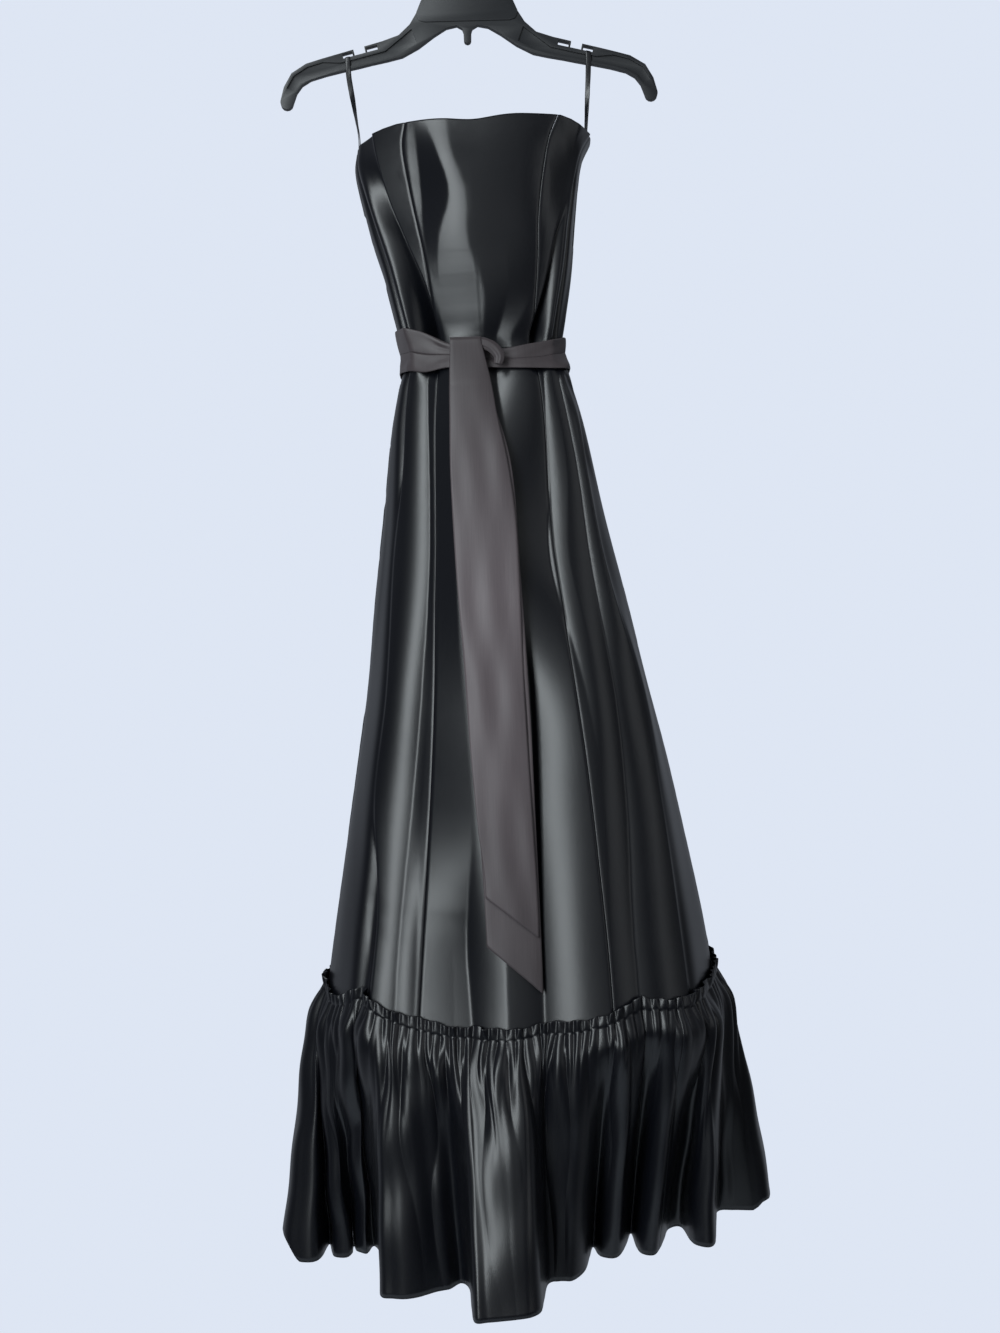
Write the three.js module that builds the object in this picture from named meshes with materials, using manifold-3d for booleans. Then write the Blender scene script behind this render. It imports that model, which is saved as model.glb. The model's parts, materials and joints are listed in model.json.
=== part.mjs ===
// A strapless satin dress with a gathered flounce and a tied sash, on a moulded plastic hanger.
// Millimetres, +Z up; the front faces -Y and the viewer's right is +X.
// The origin is the inner crest of the hanger's hook.

import * as THREE from 'three';
import { mergeVertices } from 'three/addons/utils/BufferGeometryUtils.js';
import Module from 'manifold-3d';

// Driving dimensions
const CLOTH_WALL = 1.6;          // wall that stands for the satin and its lining
const SEAM_GAP = 0.3;            // gap between neighbouring pieces
const SIDE_DEPTH = -20;          // y of the line where front and back meet
const NECK_Z = -244;
const WAIST_Z = -493;
const WAIST_MIDDLE = 8;          // x of the middle of the waist
const HEADING_Z = -1200;         // nominal height of the gathering stitches
const BODICE_ROWS = 7;
const SKIRT_ROWS = 8;
const FRILL_HEIGHT = 11;         // the strip's folded top stands this far above the stitches
const SASH_WALL = 1.3;
const SASH_STEP = { least: 5, most: 17 };   // distance between the sash's columns
const KNOT = { halfDepth: 3.2, halfWidth: 6.5, rest: -0.95, sides: 10, steps: 9 };
const RIBBON = { width: 6, thickness: 1, endZ: -264, sewn: 22 };
const HANGER = {
  thickness: 8, plateThickness: 11, pocketDepth: 2.2, hookRadius: 19, hookBar: 8, neckZ: -48,
};

const SATIN = { color: 0x14181b, roughness: 0.34, metalness: 0 };
const SASH_SATIN = { color: 0x4c474b, roughness: 0.5, metalness: 0 };
const PLASTIC = { color: 0x1b1d20, roughness: 0.45, metalness: 0 };
const ZIP_METAL = { color: 0x24262a, roughness: 0.35, metalness: 0.6 };

// The dress's outline at each height: where it reaches to the left, right, front and back
const OUTLINE = [
  { z: -244, left: -128, right: 136, front: -114, back: 34 },
  { z: -268, left: -131, right: 126, front: -117, back: 35 },
  { z: -300, left: -126, right: 120, front: -121, back: 35 },
  { z: -350, left: -115, right: 114, front: -118, back: 34 },
  { z: -400, left: -101, right: 109, front: -108, back: 30 },
  { z: -450, left: -91, right: 103, front: -96, back: 26 },
  { z: -493, left: -85, right: 100, front: -88, back: 24 },
  { z: -525, left: -90, right: 108, front: -93, back: 27 },
  { z: -580, left: -99, right: 121, front: -103, back: 32 },
  { z: -670, left: -110, right: 139, front: -114, back: 36 },
  { z: -760, left: -122, right: 160, front: -126, back: 38 },
  { z: -860, left: -133, right: 182, front: -138, back: 40 },
  { z: -950, left: -147, right: 203, front: -150, back: 42 },
  { z: -1040, left: -162, right: 221, front: -162, back: 45 },
  { z: -1130, left: -177, right: 238, front: -175, back: 48 },
  { z: -1200, left: -188, right: 248, front: -186, back: 50 },
];

// How square the outline's front and back are, from neck to heading (2 is an ellipse)
const FRONT_SQUARENESS = [2.7, 2.8, 2.7, 2.3, 2.1];
const BACK_SQUARENESS = [3.2, 3.0, 3.0, 2.8, 2.6];
const LEVELS = [NECK_Z, -370, WAIST_Z, -716, HEADING_Z];

// Lengthwise folds. Each list runs neck, bust, waist, thigh, heading.
// across: place from -1 (left side) to 1 (right side); wide: half width; high: height, negative for a hollow
const FRONT_FOLDS = [
  { across: [-0.99, -0.95, -0.93, -0.80, -0.80], wide: [5, 5, 5, 9, 11], high: [-2, -6, -8, -13, -12] },
  { across: [-0.97, -0.86, -0.78, -0.64, -0.66], wide: [6, 8, 9, 11, 13], high: [1, 6, 11, 12, 9] },
  { across: [-0.88, -0.68, -0.53, -0.44, -0.44], wide: [24, 12, 12, 14, 11], high: [-6, -15, -25, -20, -8] },
  { across: [-0.54, -0.45, -0.34, -0.34, -0.36], wide: [26, 30, 20, 16, 20], high: [7, 8, 0, 4, 10] },
  { across: [-0.2, -0.2, -0.2, -0.21, -0.22], wide: [20, 20, 12, 12, 13], high: [0, 0, 0, -4, -11] },
  { across: [0, 0, 0, 0, -0.02], wide: [24, 24, 20, 24, 28], high: [-3, -2, 4, 8, 13] },
  { across: [0.2, 0.2, 0.2, 0.18, 0.15], wide: [20, 20, 10, 10, 10], high: [0, 0, 0, -5, -9] },
  { across: [0.72, 0.5, 0.36, 0.28, 0.24], wide: [26, 30, 10, 10, 11], high: [6, 8, 3, 4, 7] },
  { across: [0.94, 0.80, 0.64, 0.38, 0.30], wide: [6, 9, 9, 11, 7], high: [0, -13, -21, -14, -7] },
  { across: [0.98, 0.89, 0.80, 0.50, 0.37], wide: [6, 7, 8, 11, 12], high: [1, 6, 9, 10, 8] },
  { across: [0.99, 0.95, 0.90, 0.62, 0.46], wide: [4, 4, 5, 9, 9], high: [-1, -5, -7, -8, -8] },
  { across: [1, 1, 0.98, 0.76, 0.64], wide: [6, 6, 6, 15, 18], high: [0, 2, 3, 7, 8] },
  { across: [1, 1, 1, 0.90, 0.82], wide: [6, 6, 6, 10, 13], high: [0, 0, 0, -5, -9] },
];
const BACK_FOLDS = [
  { across: [-0.88, -0.8, -0.76, -0.78, -0.80], wide: [9, 9, 9, 14, 18], high: [0, 5, 8, 9, 10] },
  { across: [-0.7, -0.6, -0.52, -0.56, -0.58], wide: [10, 10, 9, 15, 18], high: [0, -6, -9, -10, -10] },
  { across: [-0.4, -0.32, -0.26, -0.30, -0.32], wide: [16, 14, 12, 18, 22], high: [0, 2, 4, 7, 9] },
  { across: [-0.1, -0.1, -0.08, -0.10, -0.12], wide: [10, 10, 9, 14, 18], high: [0, 0, -3, -5, -8] },
  { across: [0.3, 0.26, 0.2, 0.16, 0.14], wide: [16, 14, 12, 18, 24], high: [0, 2, 4, 7, 8] },
  { across: [0.66, 0.56, 0.46, 0.44, 0.42], wide: [10, 10, 9, 14, 18], high: [0, -6, -9, -9, -9] },
  { across: [0.86, 0.8, 0.74, 0.72, 0.70], wide: [9, 9, 9, 16, 20], high: [0, 5, 8, 9, 10] },
];
const FOLDS = [
  ...FRONT_FOLDS.map((fold) => ({ face: 'front', ...fold })),
  ...BACK_FOLDS.map((fold) => ({ face: 'back', ...fold })),
];

// Seams between the lengthwise panels, and the columns of points in each, from the centre back leftwards
const SEAMS = [
  { name: 'side_left', face: 'front', across: [-1, -1, -1, -1, -1] },
  { name: 'princess_left', face: 'front', across: [-0.56, -0.52, -0.53, -0.49, -0.50] },
  { name: 'princess_right', face: 'front', across: [0.71, 0.64, 0.64, 0.48, 0.45] },
  { name: 'side_right', face: 'front', across: [1, 1, 1, 1, 1] },
];
const BODICE_COLUMNS = [16, 13, 20, 13, 16];
const SKIRT_COLUMNS = [25, 19, 24, 19, 25];

// Hem folds of the flounce across the front, from the left side to the right: the hollow that starts each
// fold, its crest, and how many of the gathers above run into it
const FRONT_HEM_FOLDS = [
  { hollowX: -243, hollowY: 24, crestX: -244, crestY: -42, gathers: 5 },
  { hollowX: -200, hollowY: 8, crestX: -172, crestY: -48, gathers: 4 },
  { hollowX: -160, hollowY: -13, crestX: -148, crestY: -38, gathers: 3 },
  { hollowX: -127, hollowY: -60, crestX: -108, crestY: -172, gathers: 7 },
  { hollowX: -72, hollowY: -146, crestX: -46, crestY: -166, gathers: 5 },
  { hollowX: -27, hollowY: -140, crestX: 9, crestY: -270, gathers: 10 },
  { hollowX: 50, hollowY: -172, crestX: 76, crestY: -160, gathers: 6 },
  { hollowX: 105, hollowY: -82, crestX: 120, crestY: -124, gathers: 5 },
  { hollowX: 149, hollowY: -54, crestX: 162, crestY: -134, gathers: 5 },
  { hollowX: 192, hollowY: -52, crestX: 226, crestY: -118, gathers: 6 },
  { hollowX: 252, hollowY: -12, crestX: 304, crestY: -20, gathers: 6 },
];
const BACK_HEM = { folds: 11, rightX: 316, leftX: -246, crestY: 62, hollowY: 30 };
const BACK_GATHERS = [4, 5, 4, 5, 5, 4, 5, 4, 5, 4, 5];

// The flounce's rows from the stitches down: way down, way out to the hem's form, puff, gather depth
const FLOUNCE_ROWS = [
  { down: 0, out: 0, puff: 0, gather: 1.3 },
  { down: 0.09, out: 0.06, puff: 8, gather: 2.6 },
  { down: 0.27, out: 0.26, puff: 9, gather: 2.2 },
  { down: 0.5, out: 0.52, puff: 6, gather: 1.2 },
  { down: 0.75, out: 0.78, puff: 3, gather: 0.4 },
  { down: 1, out: 1, puff: 0, gather: 0 },
];
const FLOUNCE_PANELS = [
  { name: 'flounce_left', from: 12, to: 34 },
  { name: 'flounce_front', from: 34, to: 75 },
  { name: 'flounce_right', from: 75, to: 99 },
  { name: 'flounce_back', from: 99, to: 124 },
];

// The sash round the waist: the heights of its top edge, its lengthwise crease and its lower edge, from left
// to right across the front; behind, it keeps one height
const SASH_FRONT = [
  { x: -88, top: -457, crease: -483, low: -504 },
  { x: -55, top: -468, crease: -493, low: -513 },
  { x: -28, top: -484, crease: -496, low: -511 },
  { x: 26, top: -492, crease: -503, low: -513 },
  { x: 62, top: -486, crease: -502, low: -514 },
  { x: 84, top: -481, crease: -498, low: -514 },
  { x: 103, top: -474, crease: -491, low: -510 },
];
const SASH_BACK = { top: -464, crease: -487, low: -507 };

// The sash's tails: left and right edge at each height, from the knot down
const FRONT_TAIL = [
  { z: -486, left: -27, right: 7 },
  { z: -530, left: -29, right: 17 },
  { z: -570, left: -29.5, right: 23 },
  { z: -620, left: -30, right: 33 },
  { z: -680, left: -28.5, right: 39.5 },
  { z: -740, left: -26, right: 41.5 },
  { z: -830, left: -20.5, right: 43 },
  { z: -920, left: -16, right: 45.5 },
  { z: -1010, left: -9.5, right: 49 },
  { z: -1062, left: -4, right: 51 },
];
const TAILS_REACH = { left: -31, right: 57 };
const FRONT_TAIL_END = { leftZ: -1085, rightZ: -1128 };
const BACK_TAIL = [
  { z: -503, left: -14, right: 9 },
  { z: -530, left: -14, right: 13 },
  { z: -620, left: -22, right: 36 },
  { z: -740, left: -22, right: 43 },
  { z: -880, left: -14, right: 49 },
  { z: -1010, left: -8, right: 52 },
  { z: -1105, left: -4, right: 54 },
];
const BACK_TAIL_END = { leftZ: -1136, rightZ: -1186 };

// Sections through one arm of the hanger, from the plate to the tip: a point on its top edge and one below
const ARM_SECTIONS = [
  { topX: 66, topZ: -102, lowX: 56, lowZ: -128.5, pocket: 0.2 },
  { topX: 79, topZ: -114, lowX: 75, lowZ: -138.5, pocket: 0.2 },
  { topX: 98, topZ: -120.5, lowX: 92, lowZ: -142.5, pocket: 0.52 },
  { topX: 117, topZ: -125.5, lowX: 110, lowZ: -146, pocket: 0.54 },
  { topX: 133, topZ: -129.6, lowX: 126, lowZ: -149.6, pocket: 0.54 },
  { topX: 150, topZ: -134, lowX: 144, lowZ: -153.2, pocket: 0.52 },
  { topX: 168, topZ: -138.8, lowX: 163, lowZ: -157.4, pocket: 0.22 },
  { topX: 186, topZ: -144, lowX: 181, lowZ: -162.5, pocket: 0.22 },
  { topX: 203, topZ: -154.5, lowX: 191, lowZ: -168.5, pocket: 0.22 },
  { topX: 212, topZ: -170, lowX: 197.5, lowZ: -177, pocket: 0.22 },
  { topX: 216.4, topZ: -186, lowX: 202, lowZ: -189, pocket: 0.3 },
];
const PLATE_EDGE = [
  { x: 6, z: -44 }, { x: 14, z: -52 }, { x: 30, z: -59 },
  { x: 45, z: -66 }, { x: 52.5, z: -76 }, { x: 58, z: -89 },
];
const ARCH_EDGE = [{ x: 38, z: -115.5 }, { x: 24, z: -107 }, { x: 12, z: -104.5 }, { x: 6, z: -108 }];
const HOOK_TURN = { free: 200, neckOuter: -48, neckInner: -52 };
const SLOT = {
  startX: 103, floorZ: -129.6, slope: 13.6, length: 41, height: 5.1, lip: 14.5, gap: 13, tip: 2, tipGap: 2.2,
};

const ZIP = {
  z: -264, plate: 2.4, ringInner: 1.9, ringOuter: 3, ringHalf: 0.7, barRadius: 0.6, barOut: 0.9,
  tabTop: 0.55, tabLength: 21, tabHalf: 2.6, tabThick: 0.8, windowHalf: 1.15, windowEnd: 3.7,
};

const wasm = await Module();
wasm.setup();

// Small sums

const lerp = THREE.MathUtils.lerp;
const clamp = THREE.MathUtils.clamp;

function smooth(t) {
  const k = clamp(t, 0, 1);
  return k * k * (3 - 2 * k);
}

// The value at z of a list given at LEVELS, eased between them
function atLevel(values, z) {
  let k = 0;
  while (k < LEVELS.length - 2 && z < LEVELS[k + 1]) {
    k += 1;
  }
  const t = clamp((LEVELS[k] - z) / (LEVELS[k] - LEVELS[k + 1]), 0, 1);
  return lerp(values[k], values[k + 1], (t + smooth(t)) / 2);
}

// One column of OUTLINE at z, by a curve through its rows
function outlineAt(key, z) {
  let k = 0;
  while (k < OUTLINE.length - 2 && z < OUTLINE[k + 1].z) {
    k += 1;
  }
  const a = OUTLINE[Math.max(k - 1, 0)];
  const b = OUTLINE[k];
  const c = OUTLINE[k + 1];
  const d = OUTLINE[Math.min(k + 2, OUTLINE.length - 1)];
  const span = b.z - c.z;
  const t = clamp((b.z - z) / span, 0, 1);
  const slopeB = span * (c[key] - a[key]) / (a === b ? span : a.z - c.z);
  const slopeC = span * (d[key] - b[key]) / (d === c ? span : b.z - d.z);
  const t2 = t * t;
  const t3 = t2 * t;
  return (2 * t3 - 3 * t2 + 1) * b[key] + (t3 - 2 * t2 + t) * slopeB
    + (3 * t2 - 2 * t3) * c[key] + (t3 - t2) * slopeC;
}

// The dress's rings

const RING_STEPS = 480;

function signedPower(value, power) {
  return Math.sign(value) * Math.pow(Math.abs(value), power);
}

// The turn from the centre back, leftwards, at which a ring lies at a place across its front or back
function turnAt(face, across, squareness) {
  const quarter = Math.asin(Math.pow(clamp(Math.abs(across), 0, 1), squareness / 2));
  if (face === 'front') {
    return across < 0 ? Math.PI - quarter : Math.PI + quarter;
  }
  return across < 0 ? quarter : 2 * Math.PI - quarter;
}

// A plain ring at z, with the running length along it
function plainRing(z) {
  const left = outlineAt('left', z);
  const right = outlineAt('right', z);
  const middle = (left + right) / 2;
  const half = (right - left) / 2;
  const front = outlineAt('front', z);
  const back = outlineAt('back', z);
  const frontPower = atLevel(FRONT_SQUARENESS, z);
  const backPower = atLevel(BACK_SQUARENESS, z);
  const points = [];
  const lengths = [0];
  for (let k = 0; k <= RING_STEPS; k += 1) {
    const turn = 2 * Math.PI * k / RING_STEPS;
    const cos = Math.cos(turn);
    const power = cos > 0 ? backPower : frontPower;
    const depth = cos > 0 ? back - SIDE_DEPTH : SIDE_DEPTH - front;
    points.push(new THREE.Vector2(middle - half * signedPower(Math.sin(turn), 2 / power),
      SIDE_DEPTH + depth * signedPower(cos, 2 / power)));
    if (k > 0) {
      lengths.push(lengths[k - 1] + points[k].distanceTo(points[k - 1]));
    }
  }
  const total = lengths[RING_STEPS];
  const lengthAt = (face, across) => {
    const turn = turnAt(face, across, face === 'front' ? frontPower : backPower);
    const place = turn / (2 * Math.PI) * RING_STEPS;
    const k = Math.min(Math.floor(place), RING_STEPS - 1);
    return lerp(lengths[k], lengths[k + 1], place - k);
  };
  const pointAt = (length) => {
    const wrapped = ((length % total) + total) % total;
    let k = 0;
    while (lengths[k + 1] < wrapped) {
      k += 1;
    }
    const t = (wrapped - lengths[k]) / (lengths[k + 1] - lengths[k]);
    const point = points[k].clone().lerp(points[k + 1], t);
    const before = points[(k + RING_STEPS - 2) % RING_STEPS];
    const after = points[(k + 3) % RING_STEPS];
    const along = after.clone().sub(before).normalize();
    return { point, outward: new THREE.Vector2(along.y, -along.x) };
  };
  return { total, lengthAt, pointAt };
}

// How far the folds lift or sink the cloth at a length along a ring
function foldHeight(ring, z, length) {
  let height = 0;
  for (const fold of FOLDS) {
    const centre = ring.lengthAt(fold.face, atLevel(fold.across, z));
    let away = Math.abs(length - centre);
    away = Math.min(away, ring.total - away) / atLevel(fold.wide, z);
    height += atLevel(fold.high, z) * Math.exp(-away * away);
  }
  return height;
}

// One ring of the dress as columns of points, spaced evenly between the seams
function dressRing(z, columns) {
  const ring = plainRing(z);
  const stops = [0];
  for (const seam of SEAMS) {
    stops.push(ring.lengthAt(seam.face, atLevel(seam.across, z)));
  }
  stops.push(ring.total);
  const points = [];
  columns.forEach((count, panel) => {
    for (let k = 0; k < count; k += 1) {
      const length = lerp(stops[panel], stops[panel + 1], k / count);
      const { point, outward } = ring.pointAt(length);
      point.addScaledVector(outward, foldHeight(ring, z, length));
      points.push(new THREE.Vector3(point.x, point.y, z));
    }
  });
  return points;
}

// How far forward a point of a ring lies: 0 at the sides and behind, 1 at the centre front
function frontness(point, front) {
  return clamp((SIDE_DEPTH - point.y) / (SIDE_DEPTH - front), 0, 1);
}

// The cloth's outward direction at each column of a closed ring
function ringOutward(points) {
  const count = points.length;
  return points.map((point, k) => {
    const before = points[(k + count - 1) % count];
    const after = points[(k + 1) % count];
    const back = new THREE.Vector2(point.x - before.x, point.y - before.y).normalize();
    const ahead = new THREE.Vector2(after.x - point.x, after.y - point.y).normalize();
    const along = back.add(ahead).normalize();
    return new THREE.Vector3(along.y, -along.x, 0);
  });
}

// Solids from points

// A closed wall between two grids of the same size, rows running down and columns leftwards round the dress
function wallGeometry(outer, inner) {
  const rows = outer.length;
  const columns = outer[0].length;
  const positions = [];
  [...outer, ...inner].forEach((row) => row.forEach((point) => positions.push(point.x, point.y, point.z)));
  const out = (r, c) => r * columns + c;
  const inn = (r, c) => rows * columns + r * columns + c;
  const index = [];
  const quad = (a, b, c, d) => index.push(a, b, c, a, c, d);
  for (let r = 0; r < rows - 1; r += 1) {
    for (let c = 0; c < columns - 1; c += 1) {
      quad(out(r, c), out(r + 1, c), out(r + 1, c + 1), out(r, c + 1));
      quad(inn(r, c), inn(r, c + 1), inn(r + 1, c + 1), inn(r + 1, c));
    }
  }
  for (let c = 0; c < columns - 1; c += 1) {
    quad(out(0, c), out(0, c + 1), inn(0, c + 1), inn(0, c));
    quad(out(rows - 1, c), inn(rows - 1, c), inn(rows - 1, c + 1), out(rows - 1, c + 1));
  }
  for (let r = 0; r < rows - 1; r += 1) {
    quad(out(r, 0), inn(r, 0), inn(r + 1, 0), out(r + 1, 0));
    quad(out(r, columns - 1), out(r + 1, columns - 1), inn(r + 1, columns - 1), inn(r, columns - 1));
  }
  const geometry = new THREE.BufferGeometry();
  geometry.setAttribute('position', new THREE.Float32BufferAttribute(positions, 3));
  geometry.setIndex(index);
  return geometry;
}

// Columns from..to of full rings, drawn in at both ends to leave the seam's gap
function panelGrid(rings, from, to) {
  return rings.map((ring) => {
    const count = ring.length;
    const row = [];
    for (let c = from; c <= to; c += 1) {
      row.push(ring[((c % count) + count) % count].clone());
    }
    const last = row.length - 1;
    const start = row[1].clone().sub(row[0]).setLength(SEAM_GAP / 2);
    const end = row[last - 1].clone().sub(row[last]).setLength(SEAM_GAP / 2);
    row[0].add(start);
    row[last].add(end);
    return row;
  });
}

function makeMesh(name, geometry, finish) {
  const mesh = new THREE.Mesh(geometry, new THREE.MeshStandardMaterial(finish));
  mesh.name = name;
  return mesh;
}

// A three.js geometry as a solid that can be cut and joined
function toSolid(geometry) {
  const bare = geometry.clone();
  bare.deleteAttribute('normal');
  bare.deleteAttribute('uv');
  const merged = mergeVertices(bare, 1e-4);
  return new wasm.Manifold(new wasm.Mesh({
    numProp: 3,
    vertProperties: new Float32Array(merged.attributes.position.array),
    triVerts: new Uint32Array(merged.index.array),
  }));
}

function fromSolid(solid) {
  const mesh = solid.getMesh();
  const geometry = new THREE.BufferGeometry();
  geometry.setAttribute('position', new THREE.BufferAttribute(mesh.vertProperties, 3));
  geometry.setIndex(new THREE.BufferAttribute(mesh.triVerts, 1));
  return geometry;
}

// Bodice and skirt

function wallRings(rings, thickness) {
  return rings.map((ring) => {
    const outward = ringOutward(ring);
    return ring.map((point, k) => point.clone().addScaledVector(outward[k], -thickness));
  });
}

// The bodice's rings, from its top edge to the waist seam; the top dips a little at the front and back
function bodiceRings() {
  const rings = [];
  for (let r = 0; r <= BODICE_ROWS; r += 1) {
    const t = r / BODICE_ROWS;
    const z = lerp(NECK_Z, WAIST_Z, t);
    const ring = dressRing(z, BODICE_COLUMNS);
    for (const point of ring) {
      const backDip = 10 * smooth((point.y - SIDE_DEPTH) / 40);
      const frontDip = 3 * Math.exp(-Math.pow((point.x - 16) / 30, 2)) * frontness(point, -114);
      point.z -= (backDip + frontDip) * (1 - t);
      point.z += t * SEAM_GAP / 2;
    }
    rings.push(ring);
  }
  return rings;
}

// The skirt hangs lower at the front, and its heading slants up to the right
function skirtDrop(point, t) {
  const slant = 10 + 0.045 * (point.x - 32);
  return t * t * (slant - 36 * frontness(point, -186));
}

function skirtRings() {
  const rings = [];
  for (let r = 0; r <= SKIRT_ROWS; r += 1) {
    const t = r / SKIRT_ROWS;
    const z = lerp(WAIST_Z, HEADING_Z, Math.pow(t, 1.15));
    const ring = dressRing(z, SKIRT_COLUMNS);
    for (const point of ring) {
      point.z += skirtDrop(point, t) - (1 - t) * SEAM_GAP / 2;
    }
    rings.push(ring);
  }
  return rings;
}

// Cuts full rings into the five lengthwise panels
function addPanels(group, names, rings, columns) {
  const inner = wallRings(rings, CLOTH_WALL);
  let from = 0;
  columns.forEach((count, panel) => {
    const outerGrid = panelGrid(rings, from, from + count);
    const innerGrid = panelGrid(inner, from, from + count);
    group.add(makeMesh(names[panel], wallGeometry(outerGrid, innerGrid), SATIN));
    from += count;
  });
}

// Flounce

// The hem's folds all round, from the centre back leftwards, as hollows and crests with their gathers
function hemFolds() {
  const back = [];
  for (let k = 0; k < BACK_HEM.folds; k += 1) {
    const sway = Math.sin(2.4 * k + 0.7);
    const step = (BACK_HEM.leftX - BACK_HEM.rightX) / BACK_HEM.folds;
    const edge = Math.abs(k + 0.5 - BACK_HEM.folds / 2) / (BACK_HEM.folds / 2);
    const rounding = 16 * Math.pow(edge, 3);
    back.push({
      hollowX: BACK_HEM.rightX + step * k,
      hollowY: BACK_HEM.hollowY + 7 * sway - rounding,
      crestX: BACK_HEM.rightX + step * (k + 0.5) + 5 * sway,
      crestY: BACK_HEM.crestY - 4 * Math.abs(sway) - rounding,
      gathers: BACK_GATHERS[k],
    });
  }
  return [...FRONT_HEM_FOLDS, ...back];
}

// The hem as a closed ring of columns, two for each gather, that starts at the left side
function hemRing() {
  const folds = hemFolds();
  const points = [];
  const flank = (fromX, fromY, toX, toY, steps, toCrest) => {
    for (let k = 0; k < steps; k += 1) {
      const q = k / steps;
      const side = q + 0.11 * Math.sin(2 * Math.PI * q);
      const rise = (1 - Math.cos(Math.PI * q)) / 2;
      const depth = toCrest ? Math.pow(rise, 0.65) : 1 - Math.pow(1 - rise, 0.65);
      points.push(new THREE.Vector2(lerp(fromX, toX, side), lerp(fromY, toY, depth)));
    }
  };
  folds.forEach((fold, k) => {
    const next = folds[(k + 1) % folds.length];
    flank(fold.hollowX, fold.hollowY, fold.crestX, fold.crestY, fold.gathers, true);
    flank(fold.crestX, fold.crestY, next.hollowX, next.hollowY, fold.gathers, false);
  });
  return points.map((point) => {
    const forward = frontness(point, -235);
    return new THREE.Vector3(point.x, point.y, -1485 + 0.069 * (point.x - 18) - 12 * forward);
  });
}

// The skirt's lower edge as flounce columns: each point and the one halfway to the next
function stitchRing(edge) {
  const points = [];
  edge.forEach((point, k) => {
    const next = edge[(k + 1) % edge.length];
    points.push(point.clone(), point.clone().lerp(next, 0.5));
  });
  return points;
}

function flounceRings(edge) {
  const stitches = stitchRing(edge);
  const outward = ringOutward(stitches);
  const hem = hemRing();
  const shift = 2 * SKIRT_COLUMNS[0];
  const count = stitches.length;
  const clear = CLOTH_WALL + SEAM_GAP + 0.2;
  const gatherAt = (k, depth) => (k % 2 === 0 ? 0 : depth * (1.6 + 0.5 * Math.sin(k * 1.7)));
  const row = (down, out, puff, gather) => stitches.map((stitch, k) => {
    const target = hem[(k - shift + count) % count];
    const point = new THREE.Vector3(lerp(stitch.x, target.x, out), lerp(stitch.y, target.y, out),
      lerp(stitch.z + 4, target.z, down));
    return point.addScaledVector(outward[k], (1 - down) * clear + puff + gatherAt(k, gather));
  });
  const frill = stitches.map((stitch, k) => {
    const lean = 2.4 + gatherAt(k, 2.4) + 0.8 * Math.sin(k * 0.9);
    const height = FRILL_HEIGHT + 1.2 * Math.sin(k * 0.37) + 0.8 * Math.sin(k * 1.3);
    return stitch.clone().addScaledVector(outward[k], clear + lean).add(new THREE.Vector3(0, 0, 4 + height));
  });
  return [frill, ...FLOUNCE_ROWS.map((r) => row(r.down, r.out, r.puff, r.gather))];
}

function addFlounce(group, edge) {
  const rings = flounceRings(edge);
  const inner = wallRings(rings, CLOTH_WALL);
  for (const panel of FLOUNCE_PANELS) {
    const outerGrid = panelGrid(rings, 2 * panel.from, 2 * panel.to);
    const innerGrid = panelGrid(inner, 2 * panel.from, 2 * panel.to);
    group.add(makeMesh(panel.name, wallGeometry(outerGrid, innerGrid), SATIN));
  }
}

// Sash

// The convex outline of a ring, leftwards from the centre back: a taut band touches only the folds' crests
function tautOutline(points) {
  const flat = points.map((point) => new THREE.Vector2(point.x, point.y));
  const sorted = flat.sort((a, b) => a.x - b.x || a.y - b.y);
  const cross = (o, a, b) => (a.x - o.x) * (b.y - o.y) - (a.y - o.y) * (b.x - o.x);
  const chain = (list) => {
    const hull = [];
    for (const point of list) {
      while (hull.length > 1 && cross(hull[hull.length - 2], hull[hull.length - 1], point) <= 0) {
        hull.pop();
      }
      hull.push(point);
    }
    hull.pop();
    return hull;
  };
  return [...chain(sorted), ...chain(sorted.reverse())];
}

// The points where the lines down the bodice and the skirt pass the height z
function sliceAt(garment, z) {
  const points = [];
  for (const rings of garment) {
    for (let r = 0; r < rings.length - 1; r += 1) {
      rings[r].forEach((a, k) => {
        const b = rings[r + 1][k];
        if (a.z >= z && z >= b.z) {
          points.push(a.clone().lerp(b, (a.z - z) / (a.z - b.z)));
        }
      });
    }
  }
  return points;
}

function tautAbout(garment, z) {
  return tautOutline([z - 2, z, z + 2].flatMap((height) => sliceAt(garment, height)));
}

// The directions of the sash's columns from the waist's middle: one at each crest it rests on, more between
function sashAngles(garment) {
  const corners = tautAbout(garment, WAIST_Z).filter((point, k, hull) => (
    point.distanceTo(hull[(k + 1) % hull.length]) > SASH_STEP.least));
  const points = [];
  corners.forEach((corner, k) => {
    const next = corners[(k + 1) % corners.length];
    const pieces = Math.ceil(corner.distanceTo(next) / SASH_STEP.most);
    for (let n = 0; n < pieces; n += 1) {
      points.push(corner.clone().lerp(next, n / pieces));
    }
  });
  const angles = points.map((point) => Math.atan2(point.y - SIDE_DEPTH, point.x - WAIST_MIDDLE));
  const fromFront = (angle) => (angle + Math.PI / 2 + 2 * Math.PI) % (2 * Math.PI);
  return angles.sort((a, b) => fromFront(a) - fromFront(b));
}

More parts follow.
